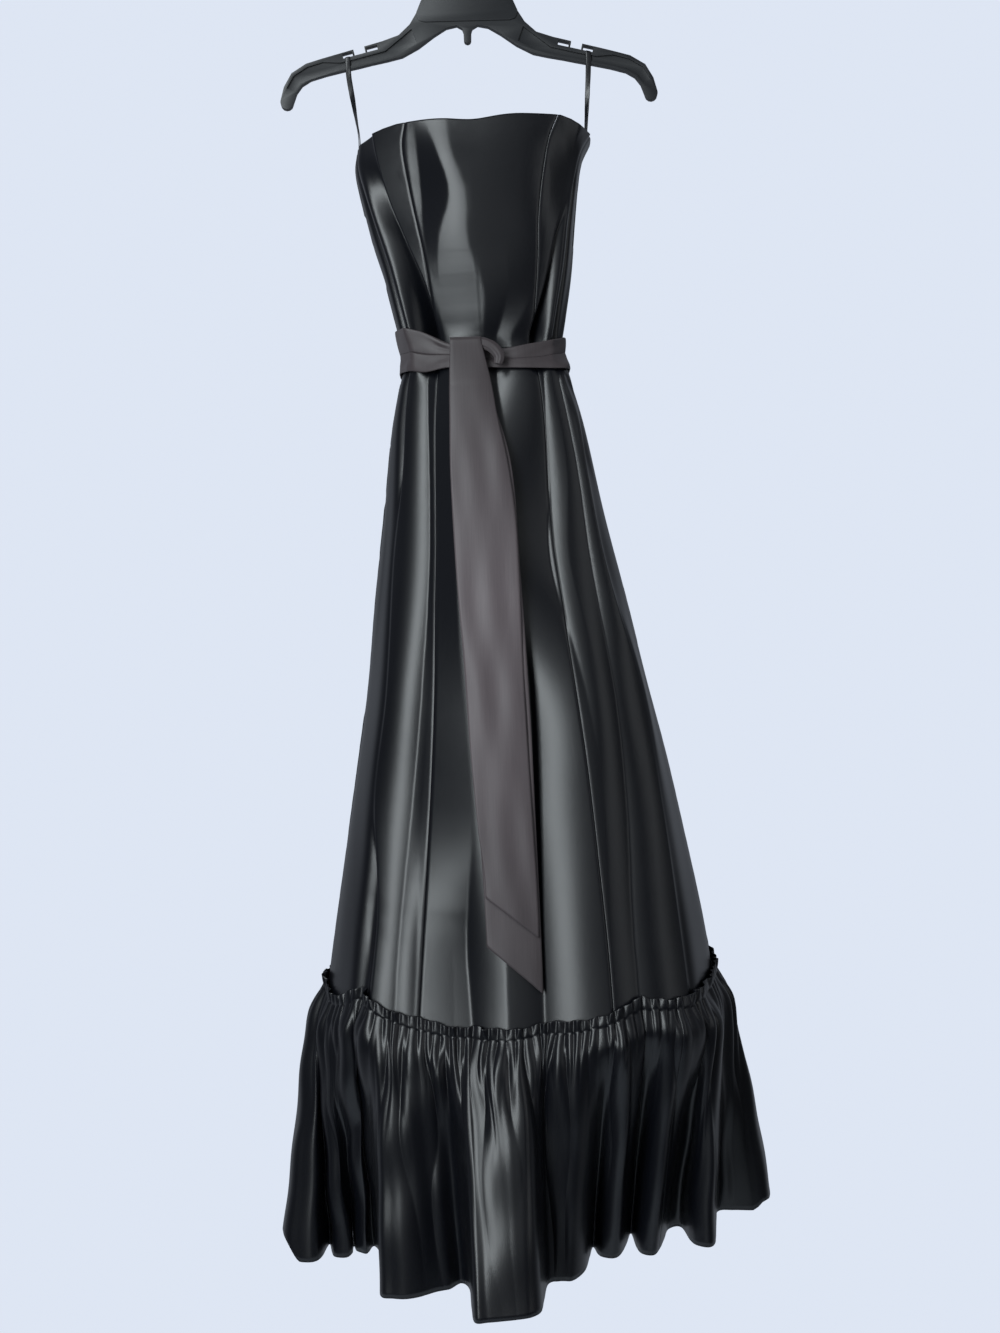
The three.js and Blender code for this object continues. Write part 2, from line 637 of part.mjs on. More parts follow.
// Where a ray from inside the waist meets the taut outline of the dress about z
function tautPoint(garment, angle, z) {
  const hull = tautAbout(garment, z);
  const centre = new THREE.Vector2(WAIST_MIDDLE, SIDE_DEPTH);
  const ray = new THREE.Vector2(Math.cos(angle), Math.sin(angle));
  for (let n = 0; n < hull.length; n += 1) {
    const a = hull[n];
    const edge = hull[(n + 1) % hull.length].clone().sub(a);
    const toStart = a.clone().sub(centre);
    const det = ray.x * edge.y - ray.y * edge.x;
    const reach = (toStart.x * edge.y - toStart.y * edge.x) / det;
    const place = (toStart.x * ray.y - toStart.y * ray.x) / det;
    if (reach > 0 && place >= 0 && place <= 1) {
      return centre.clone().addScaledVector(ray, reach);
    }
  }
  throw new Error('the ray misses the outline');
}

// The height of one edge of the sash at a point of the waist
function sashHeight(edge, point) {
  let k = 0;
  while (k < SASH_FRONT.length - 2 && point.x > SASH_FRONT[k + 1].x) {
    k += 1;
  }
  const a = SASH_FRONT[k];
  const b = SASH_FRONT[k + 1];
  const front = lerp(a[edge], b[edge], clamp((point.x - a.x) / (b.x - a.x), 0, 1));
  return lerp(front, SASH_BACK[edge], smooth((point.y - SIDE_DEPTH) / 30));
}

// One ring of a tier of the sash, between two of its edges, standing off the taut outline
function sashRing(garment, upperEdge, lowerEdge, down, standOff) {
  const ring = sashAngles(garment).map((angle) => {
    const guess = tautPoint(garment, angle, WAIST_Z);
    const z = lerp(sashHeight(upperEdge, guess), sashHeight(lowerEdge, guess), down);
    const point = tautPoint(garment, angle, z);
    return new THREE.Vector3(point.x, point.y, z);
  });
  const outward = ringOutward(ring);
  return ring.map((point, k) => point.addScaledVector(outward[k], standOff));
}

function addSashBands(group, garment) {
  const rest = SASH_WALL + 2.3;
  const shift = (rings, z) => rings.forEach((point) => {
    point.z += z;
  });
  const upper = [
    sashRing(garment, 'top', 'crease', 0, rest),
    sashRing(garment, 'top', 'crease', 0.5, rest + 1.4),
    sashRing(garment, 'top', 'crease', 1, rest + 0.9),
  ];
  const lower = [
    sashRing(garment, 'crease', 'low', 0, rest),
    sashRing(garment, 'crease', 'low', 0.5, rest + 0.9),
    sashRing(garment, 'crease', 'low', 1, rest),
  ];
  shift(upper[2], SEAM_GAP / 2);
  shift(lower[0], -SEAM_GAP / 2);
  [['sash_band_upper', upper], ['sash_band_lower', lower]].forEach(([name, rings]) => {
    const inner = wallRings(rings, SASH_WALL);
    const outerGrid = panelGrid(rings, 0, rings[0].length);
    const innerGrid = panelGrid(inner, 0, rings[0].length);
    group.add(makeMesh(name, wallGeometry(outerGrid, innerGrid), SASH_SATIN));
  });
  return Math.min(...[...upper, ...lower].map((ring) => clothFront([ring], WAIST_MIDDLE, 0)));
}

// The front of the cloth at x and z: the rows' points are joined, and the foremost one counts
function clothFront(rings, x, z) {
  const places = rings.map((ring) => {
    let best = null;
    ring.forEach((a, k) => {
      const b = ring[(k + 1) % ring.length];
      if ((a.x - x) * (b.x - x) <= 0 && a.x !== b.x) {
        const point = a.clone().lerp(b, (x - a.x) / (b.x - a.x));
        if (best === null || point.y < best.y) {
          best = point;
        }
      }
    });
    return best;
  });
  for (let r = 0; r < places.length - 1; r += 1) {
    const a = places[r];
    const b = places[r + 1];
    if (a && b && a.z >= z && z >= b.z) {
      return lerp(a.y, b.y, (a.z - z) / (a.z - b.z));
    }
  }
  return places[0].y;
}

// The foremost cloth under the tails about z
function frontUnder(rings, z) {
  let front = Infinity;
  for (let k = 0; k <= 16; k += 1) {
    const x = lerp(TAILS_REACH.left, TAILS_REACH.right, k / 16);
    for (const nearby of [z - 12, z, z + 12]) {
      front = Math.min(front, clothFront(rings, x, nearby));
    }
  }
  return front;
}

// A tail of the sash: it falls from the knot and lies on the skirt, with a slanted cut end
function tailGeometry(rows, end, rings, lift, knotFront) {
  const across = 4;
  const sections = rows.map((row) => ({ left: row.left, right: row.right, leftZ: row.z, rightZ: row.z }));
  const last = rows[rows.length - 1];
  sections.push({ left: last.left + 1, right: last.right + 1, leftZ: end.leftZ, rightZ: end.rightZ });
  const outer = sections.map((section, r) => {
    const line = [];
    for (let c = 0; c <= across; c += 1) {
      const t = c / across;
      const z = lerp(section.leftZ, section.rightZ, t);
      const resting = frontUnder(rings, z) - lift;
      const hanging = knotFront + 0.1 * (rows[0].z - z);
      const front = Math.min(resting, r < 4 ? hanging : 0);
      const bow = r === 0 ? 0 : 1.5 * Math.sin(Math.PI * t);
      line.push(new THREE.Vector3(lerp(section.left, section.right, t), front - bow, z));
    }
    return line;
  });
  const through = new THREE.Vector3(0, SASH_WALL, 0);
  const inner = outer.map((line) => line.map((point) => point.clone().add(through)));
  return wallGeometry(outer, inner);
}

// A closed tube through sections of the same number of points, capped at both ends
function tubeGeometry(sections) {
  const sides = sections[0].length;
  const positions = [];
  sections.forEach((section) => section.forEach((point) => positions.push(point.x, point.y, point.z)));
  const index = [];
  for (let s = 0; s < sections.length - 1; s += 1) {
    for (let k = 0; k < sides; k += 1) {
      const a = s * sides + k;
      const b = s * sides + (k + 1) % sides;
      index.push(a, b, b + sides, a, b + sides, a + sides);
    }
  }
  const lastStart = (sections.length - 1) * sides;
  for (let k = 1; k < sides - 1; k += 1) {
    index.push(0, k + 1, k);
    index.push(lastStart, lastStart + k, lastStart + k + 1);
  }
  const geometry = new THREE.BufferGeometry();
  geometry.setAttribute('position', new THREE.Float32BufferAttribute(positions, 3));
  geometry.setIndex(index);
  return facingOut(geometry);
}

// Turns a closed surface's faces outwards
function facingOut(geometry) {
  const place = geometry.attributes.position;
  const index = geometry.index.array;
  const corner = (k) => new THREE.Vector3().fromBufferAttribute(place, index[k]);
  let volume = 0;
  for (let k = 0; k < index.length; k += 3) {
    volume += corner(k).dot(corner(k + 1).cross(corner(k + 2)));
  }
  if (volume < 0) {
    for (let k = 0; k < index.length; k += 3) {
      [index[k + 1], index[k + 2]] = [index[k + 2], index[k + 1]];
    }
  }
  return geometry;
}

// The rolled turn of the knot, from the top of the sash over to its right end
function knotGeometry(bandFront) {
  const middle = bandFront - KNOT.rest - KNOT.halfDepth;
  const route = new THREE.CatmullRomCurve3([
    new THREE.Vector3(-16, middle, -489),
    new THREE.Vector3(2, middle - 0.2, -486.5),
    new THREE.Vector3(17, middle - 0.2, -491),
    new THREE.Vector3(26, middle, -501),
    new THREE.Vector3(25, middle, -511),
  ]);
  const depth = new THREE.Vector3(0, 1, 0);
  const sections = [];
  for (let s = 0; s <= KNOT.steps; s += 1) {
    const t = s / KNOT.steps;
    const centre = route.getPoint(t);
    const wide = route.getTangent(t).cross(depth).normalize();
    const taper = 0.72 + 0.28 * Math.sin(Math.PI * t);
    const section = [];
    for (let k = 0; k < KNOT.sides; k += 1) {
      const turn = 2 * Math.PI * k / KNOT.sides;
      section.push(centre.clone().addScaledVector(wide, KNOT.halfWidth * taper * Math.cos(turn))
        .addScaledVector(depth, KNOT.halfDepth * taper * Math.sin(turn)));
    }
    sections.push(section);
  }
  return tubeGeometry(sections);
}

function addSash(group, bodice, skirt) {
  const bandFront = addSashBands(group, [bodice, skirt]);
  const knotFront = bandFront - KNOT.rest - 2 * KNOT.halfDepth - SEAM_GAP;
  const backLift = SASH_WALL + 0.8;
  const frontLift = backLift + SASH_WALL + 1.6;
  group.add(makeMesh('sash_knot', knotGeometry(bandFront), SASH_SATIN));
  group.add(makeMesh('sash_tail_front',
    tailGeometry(FRONT_TAIL, FRONT_TAIL_END, skirt, frontLift, knotFront - SASH_WALL), SASH_SATIN));
  group.add(makeMesh('sash_tail_back',
    tailGeometry(BACK_TAIL, BACK_TAIL_END, skirt, backLift, bandFront - SEAM_GAP - SASH_WALL), SASH_SATIN));
}

// Hanger

// A flat outline in the XZ plane, extruded along Y about y = 0
function plate(points, thickness) {
  const shape = new THREE.Shape(points.map((point) => new THREE.Vector2(point.x, point.z)));
  const geometry = new THREE.ExtrudeGeometry(shape, { depth: thickness, bevelEnabled: false });
  geometry.rotateX(Math.PI / 2);
  geometry.translate(0, thickness / 2, 0);
  return toSolid(geometry);
}

function mirrored(points) {
  return points.map((point) => ({ x: -point.x, z: point.z })).reverse();
}

function arc(centreX, centreZ, radius, fromDegrees, toDegrees, steps) {
  const points = [];
  for (let k = 0; k <= steps; k += 1) {
    const turn = THREE.MathUtils.degToRad(lerp(fromDegrees, toDegrees, k / steps));
    points.push({ x: centreX + radius * Math.cos(turn), z: centreZ + radius * Math.sin(turn) });
  }
  return points;
}

// The hanger's outline: down the right edge, round the arm's tip, back under it, and the same on the left
function hangerOutline() {
  const top = ARM_SECTIONS.map((section) => ({ x: section.topX, z: section.topZ }));
  const low = ARM_SECTIONS.map((section) => ({ x: section.lowX, z: section.lowZ })).reverse();
  const tipX = (top[top.length - 1].x + low[0].x) / 2;
  const tipZ = (top[top.length - 1].z + low[0].z) / 2;
  const tip = arc(tipX, tipZ, 7.2, 0, -170, 6).map((point) => ({ x: point.x, z: point.z - 1 }));
  const right = [...PLATE_EDGE, ...top, ...tip, ...low, ...ARCH_EDGE];
  const peg = [{ x: 4.5, z: -112 }, { x: 4.2, z: -121 }, ...arc(0, -121, 4.2, -20, -160, 5),
    { x: -4.2, z: -121 }, { x: -4.5, z: -112 }];
  return [...right, ...peg, ...mirrored(right)];
}

// The hook: a bar round a circle that runs into the neck, and the round end of the bar on the left
function hookOutlines() {
  const inner = HANGER.hookRadius;
  const outer = HANGER.hookRadius + HANGER.hookBar;
  const outerArc = arc(0, -inner, outer, HOOK_TURN.free, HOOK_TURN.neckOuter, 18);
  const innerArc = arc(0, -inner, inner, HOOK_TURN.neckInner, HOOK_TURN.free, 18);
  const foot = HANGER.neckZ - 6;
  const neck = [{ x: 6, z: foot }, { x: -6, z: foot }, { x: -5, z: HANGER.neckZ + 3 }];
  const free = arc(0, -inner, (inner + outer) / 2, HOOK_TURN.free, HOOK_TURN.free, 1)[0];
  return [[...outerArc, ...neck, ...innerArc], arc(free.x, free.z, HANGER.hookBar / 2, 0, 330, 11)];
}

// The pocket between the rims on one arm, narrow under the strap slot
function pocketOutline() {
  const sections = ARM_SECTIONS.slice(0, -1);
  const at = (section, t) => ({
    x: lerp(section.topX, section.lowX, t),
    z: lerp(section.topZ, section.lowZ, t),
  });
  return [...sections.map((section) => at(section, section.pocket)),
    ...sections.map((section) => at(section, 0.82)).reverse()];
}

// The strap slot in one arm: a chamber under two lips that turn down beside its mouth
function slotOutline() {
  const turn = -THREE.MathUtils.degToRad(SLOT.slope);
  const mouthEnd = SLOT.lip + SLOT.gap;
  const local = [
    [0, 0], [SLOT.length, 0], [SLOT.length, SLOT.height], [mouthEnd + SLOT.tip, SLOT.height],
    [mouthEnd + SLOT.tip, SLOT.tipGap], [mouthEnd, SLOT.tipGap], [mouthEnd, 14], [SLOT.lip, 14],
    [SLOT.lip, SLOT.tipGap], [SLOT.lip - SLOT.tip, SLOT.tipGap], [SLOT.lip - SLOT.tip, SLOT.height],
    [0, SLOT.height],
  ];
  return local.map(([along, up]) => ({
    x: SLOT.startX + along * Math.cos(turn) - up * Math.sin(turn),
    z: SLOT.floorZ + along * Math.sin(turn) + up * Math.cos(turn),
  }));
}

function hangerGeometry() {
  const outline = hangerOutline();
  const plateTop = [...PLATE_EDGE, { x: 58, z: -92 }, { x: 55, z: -98 }, { x: 49, z: -100 }];
  const raised = plate([...plateTop, ...mirrored(plateTop)], HANGER.plateThickness);
  let solid = plate(outline, HANGER.thickness).add(raised);
  for (const hook of hookOutlines()) {
    solid = solid.add(plate(hook, HANGER.thickness));
  }
  const cutDepth = HANGER.pocketDepth;
  for (const side of [1, -1]) {
    const turned = (points) => (side > 0 ? points : mirrored(points));
    solid = solid.subtract(plate(turned(slotOutline()), 3 * HANGER.thickness));
    for (const face of [1, -1]) {
      const pocket = plate(turned(pocketOutline()), cutDepth + 2);
      solid = solid.subtract(pocket.translate([0, face * (HANGER.thickness / 2 + 1 - cutDepth / 2), 0]));
    }
  }
  return fromSolid(solid);
}

// Ribbon loops

// A ribbon from inside the bodice up in front of the arm, over the slot's floor and down behind it
function loopGeometry(side, wallLow, wallHigh, outward) {
  const along = 36;
  const turn = THREE.MathUtils.degToRad(SLOT.slope);
  const slotX = side * (SLOT.startX + along * Math.cos(turn));
  const floorZ = SLOT.floorZ - along * Math.sin(turn);
  const half = RIBBON.thickness / 2;
  const faceY = HANGER.thickness / 2 + SEAM_GAP + half;
  const armWide = new THREE.Vector3(1, 0, -side * Math.tan(turn)).normalize();
  const level = new THREE.Vector3(1, 0, 0);
  const wallWide = new THREE.Vector3(-outward.y, outward.x, 0);
  if (wallWide.x < 0) {
    wallWide.negate();
  }
  const near = SEAM_GAP + half;
  const far = 2 * SEAM_GAP + 3 * half;
  const strand = (standOff, y) => {
    const low = wallLow.clone().addScaledVector(outward, -standOff);
    const high = wallHigh.clone().addScaledVector(outward, -standOff);
    const top = new THREE.Vector3(slotX, y, floorZ - 19);
    const stations = [{ centre: low, wide: wallWide }];
    for (let k = 0; k <= 5; k += 1) {
      const t = k / 5;
      const wide = wallWide.clone().lerp(level, smooth(t)).normalize();
      stations.push({ centre: high.clone().lerp(top, t), wide });
    }
    return stations;
  };
  const over = [
    { centre: new THREE.Vector3(slotX, -faceY, floorZ - 1), wide: armWide },
    { centre: new THREE.Vector3(slotX, -faceY + 0.6, floorZ + SEAM_GAP + half), wide: armWide },
    { centre: new THREE.Vector3(slotX, faceY - 0.6, floorZ + SEAM_GAP + half), wide: armWide },
    { centre: new THREE.Vector3(slotX, faceY, floorZ - 1), wide: armWide },
  ];
  const ahead = strand(side < 0 ? near : far, -faceY);
  const behind = strand(side < 0 ? far : near, faceY);
  const stations = [...ahead, ...over, ...behind.reverse()];
  const sections = stations.map((station, k) => {
    const before = stations[Math.max(k - 1, 0)].centre;
    const after = stations[Math.min(k + 1, stations.length - 1)].centre;
    const along3 = after.clone().sub(before).normalize();
    const thick = along3.clone().cross(station.wide).normalize();
    const wide = thick.clone().cross(along3).normalize();
    const corner = (u, v) => station.centre.clone().addScaledVector(wide, u * RIBBON.width / 2)
      .addScaledVector(thick, v * half);
    return [corner(-1, -1), corner(1, -1), corner(1, 1), corner(-1, 1)];
  });
  return tubeGeometry(sections);
}

// The bodice's inner wall halfway between two columns, where a loop is sewn on
function loopSeat(bodice, column) {
  const inner = wallRings(bodice, CLOTH_WALL);
  const down = (k, z) => {
    const top = inner[0][k];
    const next = inner[1][k];
    return top.clone().lerp(next, (top.z - z) / (top.z - next.z));
  };
  const middle = (z) => down(column, z).lerp(down(column + 1, z), 0.5);
  const along = down(column + 1, RIBBON.endZ).sub(down(column, RIBBON.endZ));
  return {
    low: middle(RIBBON.endZ),
    high: middle(RIBBON.endZ + RIBBON.sewn),
    outward: new THREE.Vector3(along.y, -along.x, 0).normalize(),
  };
}

function addLoops(group, bodice) {
  const sideLeft = BODICE_COLUMNS[0];
  const sideRight = BODICE_COLUMNS.slice(0, 4).reduce((sum, count) => sum + count, 0);
  const left = loopSeat(bodice, sideLeft + 1);
  const right = loopSeat(bodice, sideRight + 2);
  group.add(makeMesh('loop_left', loopGeometry(-1, left.low, left.high, left.outward), SATIN));
  group.add(makeMesh('loop_right', loopGeometry(1, right.low, right.high, right.outward), SATIN));
}

// Zip

// A flat outline in the YZ plane, extruded along X about x = 0
function crossPlate(points, thickness) {
  const shape = new THREE.Shape(points.map(([y, z]) => new THREE.Vector2(y, z)));
  const geometry = new THREE.ExtrudeGeometry(shape, { depth: thickness, bevelEnabled: false });
  const turned = new THREE.Matrix4();
  turned.set(0, 0, 1, -thickness / 2, 1, 0, 0, 0, 0, 1, 0, 0, 0, 0, 0, 1);
  geometry.applyMatrix4(turned);
  return toSolid(geometry);
}

// The slider: a flat plate with a ring that stands on it for the pull
function sliderGeometry() {
  const outline = [
    [-2.4, 4.6], [2.4, 4.6], [3.3, 2.4], [3.1, -1], [2, -4.6], [-2, -4.6], [-3.1, -1], [-3.3, 2.4],
  ].map(([x, z]) => ({ x, z }));
  const body = plate(outline, ZIP.plate);
  const face = ZIP.plate / 2;
  const half = (radius, from, to) => (
    arc(0, 0, radius, from, to, 10).map((point) => [face + point.x, point.z]));
  const root = face - 0.4;
  const ring = crossPlate([
    [root, -ZIP.ringOuter], ...half(ZIP.ringOuter, -90, 90), [root, ZIP.ringOuter],
    [root, ZIP.ringInner], ...half(ZIP.ringInner, 90, -90), [root, -ZIP.ringInner],
  ], 2 * ZIP.ringHalf);
  return fromSolid(body.add(ring));
}

// The pull: a long tab with a window, and a round bar across the window's top on the hinge's axis
function pullGeometry() {
  const edge = [
    { x: -1.8, z: ZIP.tabTop }, { x: -2.2, z: 0 }, { x: -2.2, z: -6 }, { x: -ZIP.tabHalf, z: -ZIP.tabLength + 4 },
    { x: -1.6, z: -ZIP.tabLength }, { x: 1.6, z: -ZIP.tabLength }, { x: ZIP.tabHalf, z: -ZIP.tabLength + 4 },
    { x: 2.2, z: -6 }, { x: 2.2, z: 0 }, { x: 1.8, z: ZIP.tabTop },
  ];
  const tab = plate(edge, ZIP.tabThick);
  const window = plate([
    { x: -ZIP.windowHalf, z: 0 }, { x: -ZIP.windowHalf, z: -ZIP.windowEnd },
    { x: ZIP.windowHalf, z: -ZIP.windowEnd }, { x: ZIP.windowHalf, z: 0 },
  ], 3);
  const bar = crossPlate(arc(0, 0, ZIP.barRadius, 0, 315, 7).map((point) => [point.x, point.z]), 3.6);
  return fromSolid(tab.subtract(window).add(bar));
}

function addZip(group, bodice) {
  const top = bodice[0][0];
  const next = bodice[1][0];
  const back = top.clone().lerp(next, (top.z - ZIP.z) / (top.z - next.z));
  const place = new THREE.Vector3(back.x, back.y + SEAM_GAP + ZIP.plate / 2, ZIP.z);
  const slider = makeMesh('zip_slider', sliderGeometry(), ZIP_METAL);
  slider.position.copy(place);
  const pull = makeMesh('zip_pull', pullGeometry(), ZIP_METAL);
  pull.position.copy(place).add(new THREE.Vector3(0, ZIP.plate / 2 + ZIP.barOut, 0));
  group.add(slider, pull);
}

function main() {
  const dress = new THREE.Group();
  const bodice = bodiceRings();
  const skirt = skirtRings();
  addPanels(dress, ['bodice_back_left', 'bodice_side_front_left', 'bodice_front', 'bodice_side_front_right',
    'bodice_back_right'], bodice, BODICE_COLUMNS);
  addPanels(dress, ['skirt_back_left', 'skirt_side_front_left', 'skirt_front', 'skirt_side_front_right',
    'skirt_back_right'], skirt, SKIRT_COLUMNS);
  addFlounce(dress, skirt[skirt.length - 1]);
  addSash(dress, bodice, skirt);
  addLoops(dress, bodice);
  addZip(dress, bodice);
  dress.add(makeMesh('hanger', hangerGeometry(), PLASTIC));
  return dress;
}

export default main();
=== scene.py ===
"""A strapless black satin dress with a tied sash, hung by two ribbon loops on a moulded hanger.

Lengths are in millimetres until a mesh is made; meshes are in metres. +Z is up, the front faces -Y, the
viewer's right is +X, and the origin is the inner crest of the hanger's hook.
"""

import json
import logging
import math
from dataclasses import dataclass, field
from enum import Enum

import bpy
import numpy as np
from mathutils import Matrix, Vector

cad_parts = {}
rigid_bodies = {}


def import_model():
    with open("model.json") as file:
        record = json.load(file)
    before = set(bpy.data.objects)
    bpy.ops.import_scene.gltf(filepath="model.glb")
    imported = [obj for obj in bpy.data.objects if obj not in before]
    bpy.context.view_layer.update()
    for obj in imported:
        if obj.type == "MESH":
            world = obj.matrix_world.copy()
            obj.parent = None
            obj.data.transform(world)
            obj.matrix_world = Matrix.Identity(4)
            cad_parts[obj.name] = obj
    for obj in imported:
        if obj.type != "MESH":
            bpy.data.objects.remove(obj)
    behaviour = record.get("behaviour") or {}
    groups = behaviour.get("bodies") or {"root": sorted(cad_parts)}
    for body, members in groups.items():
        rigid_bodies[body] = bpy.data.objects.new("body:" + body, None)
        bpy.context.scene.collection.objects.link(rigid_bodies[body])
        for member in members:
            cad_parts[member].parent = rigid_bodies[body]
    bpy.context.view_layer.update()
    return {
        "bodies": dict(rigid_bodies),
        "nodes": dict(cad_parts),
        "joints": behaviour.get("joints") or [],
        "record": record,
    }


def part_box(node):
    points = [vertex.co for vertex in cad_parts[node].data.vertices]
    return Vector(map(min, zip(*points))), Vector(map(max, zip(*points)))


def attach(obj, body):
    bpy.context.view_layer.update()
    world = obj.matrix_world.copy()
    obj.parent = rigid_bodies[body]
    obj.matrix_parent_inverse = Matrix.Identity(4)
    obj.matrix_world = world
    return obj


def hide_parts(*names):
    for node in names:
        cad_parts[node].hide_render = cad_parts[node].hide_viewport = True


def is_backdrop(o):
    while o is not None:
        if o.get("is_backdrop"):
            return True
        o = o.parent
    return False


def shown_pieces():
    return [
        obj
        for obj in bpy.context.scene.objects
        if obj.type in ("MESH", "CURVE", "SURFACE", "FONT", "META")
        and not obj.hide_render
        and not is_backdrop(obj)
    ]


LOG = logging.getLogger("dress")
MM = 0.001
DRESS_BODY = "dress"
PULL_BODY = "zip_pull_tab"

CLOTH_WALL = 1.6
SEAM_GAP = 0.3
SIDE_DEPTH = -20.0
NECK_Z = -244.0
WAIST_Z = -493.0
WAIST_MIDDLE = 8.0
HEADING_Z = -1200.0
RING_STEPS = 1600
HALF_GATHERS = 224
BODICE_FRONT = -114.0
HEADING_FRONT = -186.0
HEM_FRONT = -235.0

# the camera's picture: its middle, what lies there, the distance, a pixel's size at the hook and the tilt
PICTURE_MIDDLE = (500.0, 666.0)
SEEN_X = 18.4
SEEN_Z = -841.0
CAMERA_AWAY = 2000.0
PIXEL = 1.149
TILT = math.radians(1.5)


class Face(Enum):
    """The half of the dress that a fold or seam lies on."""

    FRONT = "front"
    BACK = "back"


class Held(Enum):
    """How a sheet of cloth is held."""

    HUNG = "hung"
    GATHERED = "gathered"
    FOLDED = "folded"


@dataclass(frozen=True)
class Fold:
    """A lengthwise fold: its place, half width and height at the form's five levels."""

    face: Face
    across: tuple[float, ...]
    wide: tuple[float, ...]
    high: tuple[float, ...]


def picture_of(x: np.ndarray, y: np.ndarray, z: float) -> tuple[np.ndarray, np.ndarray]:
    """Give the places in the camera's picture, across and down, of points at one height."""
    scale = PIXEL * (CAMERA_AWAY + y) / CAMERA_AWAY
    a, b = (x - SEEN_X) / scale, (SEEN_Z - z) / scale
    cos, sin = math.cos(TILT), math.sin(TILT)
    return PICTURE_MIDDLE[0] + a * cos + b * sin, PICTURE_MIDDLE[1] - a * sin + b * cos


@dataclass(frozen=True)
class Draping:
    """How the front's cloth turns from side to side, fold by fold, at rows of the camera's picture.

    Each row starts with its place down the picture. Its stops follow, from left to right: the place across, and
    the cloth's turn in degrees just left and just right of it, negative where it faces left.
    """

    rows: tuple[tuple[float, tuple[tuple[float, float, float], ...]], ...]
    # places over which the drawing takes hold at its ends, and how far apart in depth the two sides may come
    ease: float = 6.0
    side_play: float = 36.0
    # what is left over is taken up a little everywhere, and mostly along this share of the width at the right
    everywhere: float = 0.15
    at_right: float = 0.3
    # how softly the foremost point is found
    softness: float = 3.0

    def turns(self, across: np.ndarray, down: np.ndarray) -> tuple[np.ndarray, np.ndarray]:
        """Give the cloth's turn at places of the picture.

        Args:
            across: places across.
            down: places down.

        Returns:
            The turns in radians, and the places across of the first two stops and the last two.
        """
        heights = np.array([row[0] for row in self.rows])
        table = np.array([row[1] for row in self.rows])
        held = np.clip(down, heights[0], heights[-1])
        place, before, after = (
            np.stack([curve_through(heights, table[:, k, n], held) for k in range(table.shape[1])], axis=1)
            for n in range(3)
        )
        last = table.shape[1] - 2
        k = np.clip((place <= across[:, None]).sum(axis=1) - 1, 0, last)
        each = np.arange(len(across))
        t = np.clip((across - place[each, k]) / (place[each, k + 1] - place[each, k]), 0.0, 1.0)
        turn = after[each, k] * (1 - t) + before[each, k + 1] * t
        return np.radians(turn), place[:, [0, 1, last, last + 1]].T

    def shift(self, ring: "Ring", z: float) -> tuple[np.ndarray, np.ndarray]:
        """Give how far back the cloth of one ring moves so that it turns as drawn.

        Args:
            ring: the plain ring.
            z: its height.

        Returns:
            For each step of the ring, the move, and how fully the drawing holds there, from 0 to 1.
        """
        front = slice(RING_STEPS // 4 + 6, 3 * RING_STEPS // 4 - 5)
        x, y = ring.x[front], ring.y[front]
        across, down = picture_of(x, y, z)
        turn, (left, first, last, right) = self.turns(across, down)
        share = smooth((across - first) / self.ease + 0.5) * smooth((last - across) / self.ease + 0.5)
        slope = (np.tan(turn) - np.gradient(y) / np.gradient(x)) * share
        moved = np.concatenate(([0.0], np.cumsum((slope[1:] + slope[:-1]) / 2 * np.diff(x))))
        closing = share * (self.everywhere + smooth(1 + (across - last) / (self.at_right * (last - first))))
        spread = np.concatenate(([0.0], np.cumsum((closing[1:] + closing[:-1]) / 2 * np.diff(x))))
        apart = self.side_play * math.tanh(moved[-1] / self.side_play)
        moved -= (moved[-1] - apart) * spread / spread[-1] + apart / 2
        kernel = np.hanning(9) / np.hanning(9).sum()
        moved = np.convolve(np.pad(moved, 4), kernel, mode="valid")
        before, now = (np.exp((y.min() - place) / self.softness).mean() for place in (y, y + moved))
        lag = self.softness * math.log(before / now)
        moved -= lag * smooth((across - left) / (first - left)) * smooth((right - across) / (right - last))
        aside = np.clip((ring.x - x[0]) / (x[-1] - x[0]), 0.0, 1.0)
        whole, held = apart * (aside - 0.5), np.zeros(RING_STEPS + 1)
        whole[front], held[front] = moved, share
        return whole, held


@dataclass(frozen=True)
class Cut:
    """The flat size of a piece of cloth: width and length in metres, and its area if it isn't a rectangle."""

    width: float
    length: float
    area: float | None = None


@dataclass(frozen=True)
class Grid:
    """A sheet of points in rows that run down, with its cloth coordinates in metres."""

    points: np.ndarray
    cloth: np.ndarray


def smooth(value: np.ndarray | float) -> np.ndarray | float:
    """Ease a value from 0 to 1."""
    held = np.clip(value, 0.0, 1.0)
    return held * held * (3.0 - 2.0 * held)


def curve_through(stops: np.ndarray, values: np.ndarray, at: np.ndarray) -> np.ndarray:
    """Read a smooth curve that passes through a table.

    Args:
        stops: rising places of the table's rows.
        values: one value for each row.
        at: places to read.

    Returns:
        The values at those places.
    """
    stops, values = np.asarray(stops, float), np.asarray(values, float)
    ends = (values[1] - values[0]) / (stops[1] - stops[0]), (values[-1] - values[-2]) / (stops[-1] - stops[-2])
    slopes = np.concatenate(([ends[0]], (values[2:] - values[:-2]) / (stops[2:] - stops[:-2]), [ends[1]]))
    k = np.clip(np.searchsorted(stops, at, side="right") - 1, 0, len(stops) - 2)
    span = stops[k + 1] - stops[k]
    t = np.clip((at - stops[k]) / span, 0.0, 1.0)
    t2, t3 = t * t, t * t * t
    return (
        (2 * t3 - 3 * t2 + 1) * values[k]
        + (t3 - 2 * t2 + t) * slopes[k] * span
        + (3 * t2 - 2 * t3) * values[k + 1]
        + (t3 - t2) * slopes[k + 1] * span
    )


